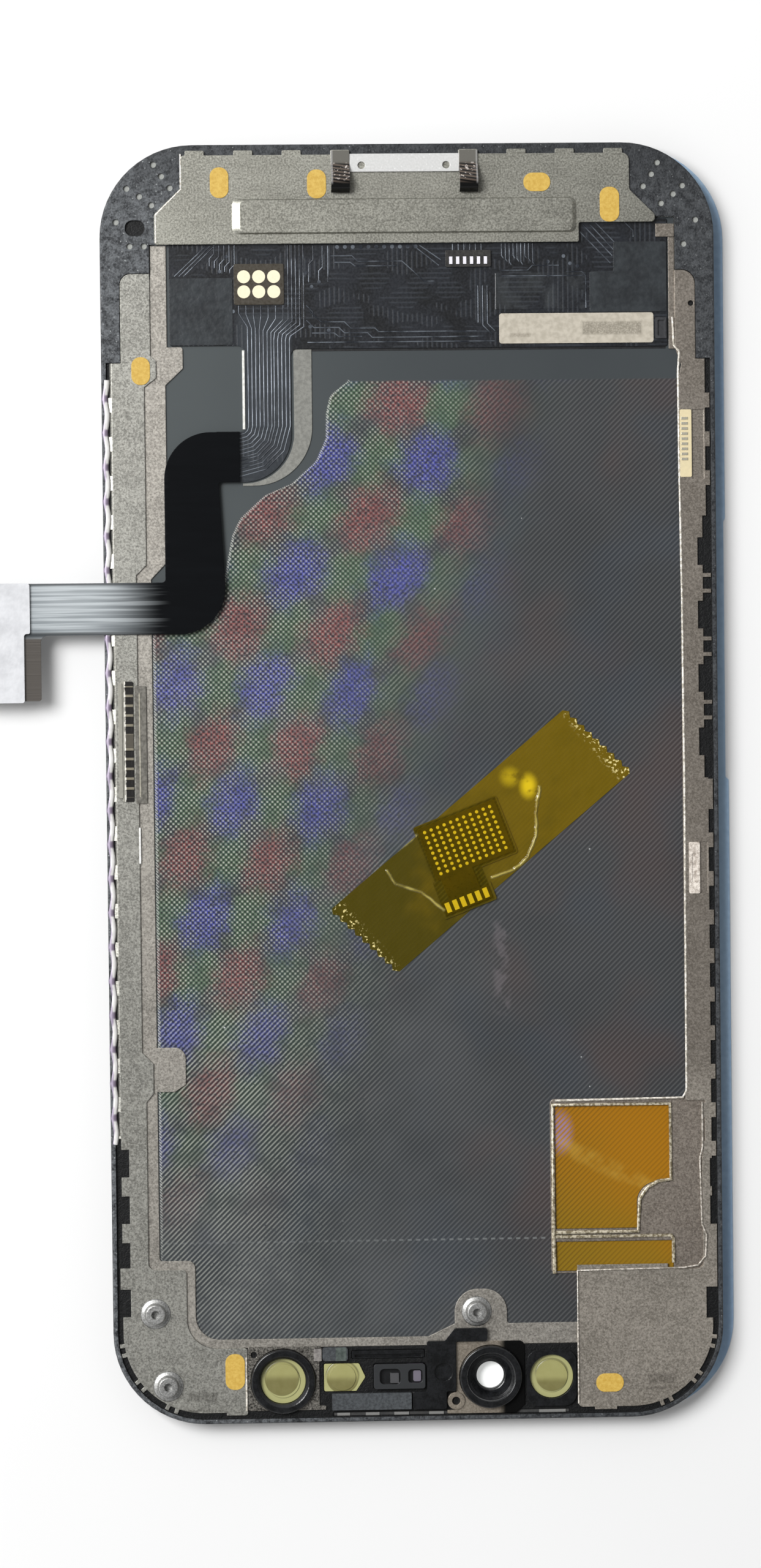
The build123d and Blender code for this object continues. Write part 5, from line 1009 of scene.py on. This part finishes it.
# slim strips that the plain sheets lack, where those named shade are painted shadow and seamLight a painted
# highlight: left, right, bottom, top and the two heights, with two near colours
stripLook = {
    "neckEdge": {"box": (-18.0, -17.74, 38.6, 47.1, 2.14, 2.31), "slot": "beige_strip",
                 "tones": ((196, 196, 190), (222, 222, 218))},
    "boardShade": {"box": (-11.2, 27.9, 46.95, 47.19, 2.14, 2.17), "slot": "black_tape",
                   "tones": ((10, 11, 13), (18, 19, 22))},
    "combShade": {"box": (-30.0, -28.8, -1.7, 11.0, 2.485, 2.5), "slot": "left_steel",
                  "tones": ((78, 76, 70), (108, 105, 98))},
    "neckShade": {"box": (-11.5, -11.1, 50.4, 54.3, 2.28, 2.3), "slot": "black_tape",
                  "tones": ((12, 13, 15), (18, 19, 22))},
    "combLine": {"box": (-29.6, -29.46, -1.0, 10.2, 2.5, 2.53), "slot": "left_steel",
                 "tones": ((138, 134, 120), (168, 164, 150))},
    "seamLight": {"box": (-29.75, -29.55, -8.2, -4.3, 2.48, 2.52), "slot": "left_steel",
                  "tones": ((200, 200, 196), (222, 222, 220))},
    "ringBlock": {"box": (-11.5, -10.65, -62.5, -61.2, 2.43, 2.56), "slot": "grey_foam",
                  "tones": ((104, 100, 98), (136, 132, 128))},
    "padEnd": {"box": (-9.1, -7.95, -62.55, -61.1, 2.5, 2.54), "slot": "grey_foam",
               "tones": ((54, 62, 58), (78, 86, 82))},
}


def stripFinish(name, tones):
    material, place = startFinish(name)
    grain = place.noise(0.3, 3)
    return endFinish(material, place, {"Base Color": grain.smooth(0.3, 0.7).mix(*tones),
                                       "Roughness": grain * 0.2 + 0.3}, grain, 0.005, 0.04)


def makeStrips():
    for name, look in stripLook.items():
        shape = bmesh.new()
        addBox(shape, *look["box"])
        addPiece(name, meshOf(name, shape), stripFinish(name, look["tones"]))


makeStrips()
print("strips are in place")


# painted highlights along the rims of the sheets, where their edges catch the light: points in order, width,
# height of the middle line and two near colours
rimHighlightTones = ((166, 160, 148), (226, 220, 210))
windowRimTones = ((118, 108, 86), (188, 180, 160))
rimHighlightLook = {
    "rightSeam": {"run": [(28.65, 50.3), (28.75, 47.3), (29.35, 46.6), (29.2, 44.3), (29.25, 34.0),
                          (29.42, 20.0), (29.5, 0.0), (29.42, -33.6), (29.0, -34.4), (15.0, -34.55)],
                  "width": 0.26, "level": 2.5, "slot": "right_steel", "tones": rimHighlightTones},
    "coverSeam": {"run": [(17.32, -67.6), (17.32, -53.1), (28.9, -52.95), (30.5, -52.7), (31.35, -51.7),
                          (31.45, -49.4), (30.95, -48.2), (30.8, -41.0), (31.1, -39.8), (31.1, -34.9)],
                  "width": 0.2, "level": 2.61, "slot": "right_steel",
                  "tones": ((136, 130, 120), (198, 191, 182))},
    "plateSeam": {"run": [(-18.82, -67.8), (-18.82, -62.0)],
                  "width": 0.22, "level": 2.5, "slot": "left_steel", "tones": rimHighlightTones},
    "windowRim": {"run": [(14.85, -53.4), (14.77, -49.4), (14.77, -35.04), (27.6, -35.04), (27.65, -43.3),
                          (26.2, -43.5), (25.0, -44.2), (24.2, -45.4), (24.0, -48.95), (15.0, -48.95)],
                  "width": 0.44, "level": 2.42, "slot": "right_steel", "tones": windowRimTones},
    "lowerRim": {"run": [(15.0, -49.42), (27.6, -49.42), (27.85, -49.8), (27.85, -52.4)],
                 "width": 0.4, "level": 2.42, "slot": "right_steel", "tones": windowRimTones},
    "bracketRim": {"run": [(-24.4, 68.2), (-24.4, 64.4), (-27.15, 61.7), (-27.15, 58.7)],
                   "width": 0.2, "level": 2.76, "slot": "left_steel", "tones": rimHighlightTones},
}
# painted highlights on the wavy rim of the left plate, white on the teeth and lilac elsewhere: teeth at an
# even pitch
wavyLook = {"x": -32.78, "low": -38.6, "high": 44.0, "pitch": 3.7, "first": 6.86, "wave": 0.1, "width": 0.72,
            "level": 2.46, "step": 0.35, "rightSide": (-32.75, -32.5), "gap": (110, 98, 112),
            "lilac": ((124, 112, 134), (164, 154, 170)), "tooth": ((214, 212, 210), (240, 239, 236))}


def rimFinish(name, tones):
    material, place = startFinish(name)
    grain = place.noise(0.3, 2)
    base = grain.smooth(0.4, 0.6).mix(*tones)
    return endFinish(material, place, {"Base Color": base, "Roughness": grain * 0.2 + 0.2, "Metallic": 0.2},
                     grain, 0.01)


def wavyFinish():
    look = wavyLook
    material, place = startFinish("wavyHighlight")
    x, y, z = place.parts()
    tooth = ((y - look["first"]) * (1 / look["pitch"])).wave().smooth(0.02, 0.16)
    grain = place.noise(0.5, 3)
    right = (x + place.moved(0, 9).noise(1.1) * 0.4).smooth(*look["rightSide"])
    base = (tooth * right).mix(grain.mix(*look["lilac"]), grain.mix(*look["tooth"]))
    base = (right * (1 - tooth) * 0.6).mix(base, look["gap"])
    values = {"Base Color": base, "Roughness": grain * 0.2 + 0.25, "Metallic": 0.2}
    return endFinish(material, place, values, grain, 0.01)


def wavyRun():
    look = wavyLook
    steps = int((look["high"] - look["low"]) / look["step"])
    heights = [look["low"] + (look["high"] - look["low"]) * k / steps for k in range(steps + 1)]
    return [(look["x"] + look["wave"] * math.cos(2 * math.pi * (y - look["first"]) / look["pitch"]), y)
            for y in heights]


def makeRims():
    for name, look in rimHighlightLook.items():
        mesh = wireMesh(name, [look["run"]], look["width"], look["level"])
        addPiece(name, mesh, rimFinish(name, look["tones"]))
    mesh = wireMesh("wavyRim", [wavyRun()], wavyLook["width"], wavyLook["level"])
    addPiece("wavyRim", mesh, wavyFinish())


makeRims()
print("rims are in place")
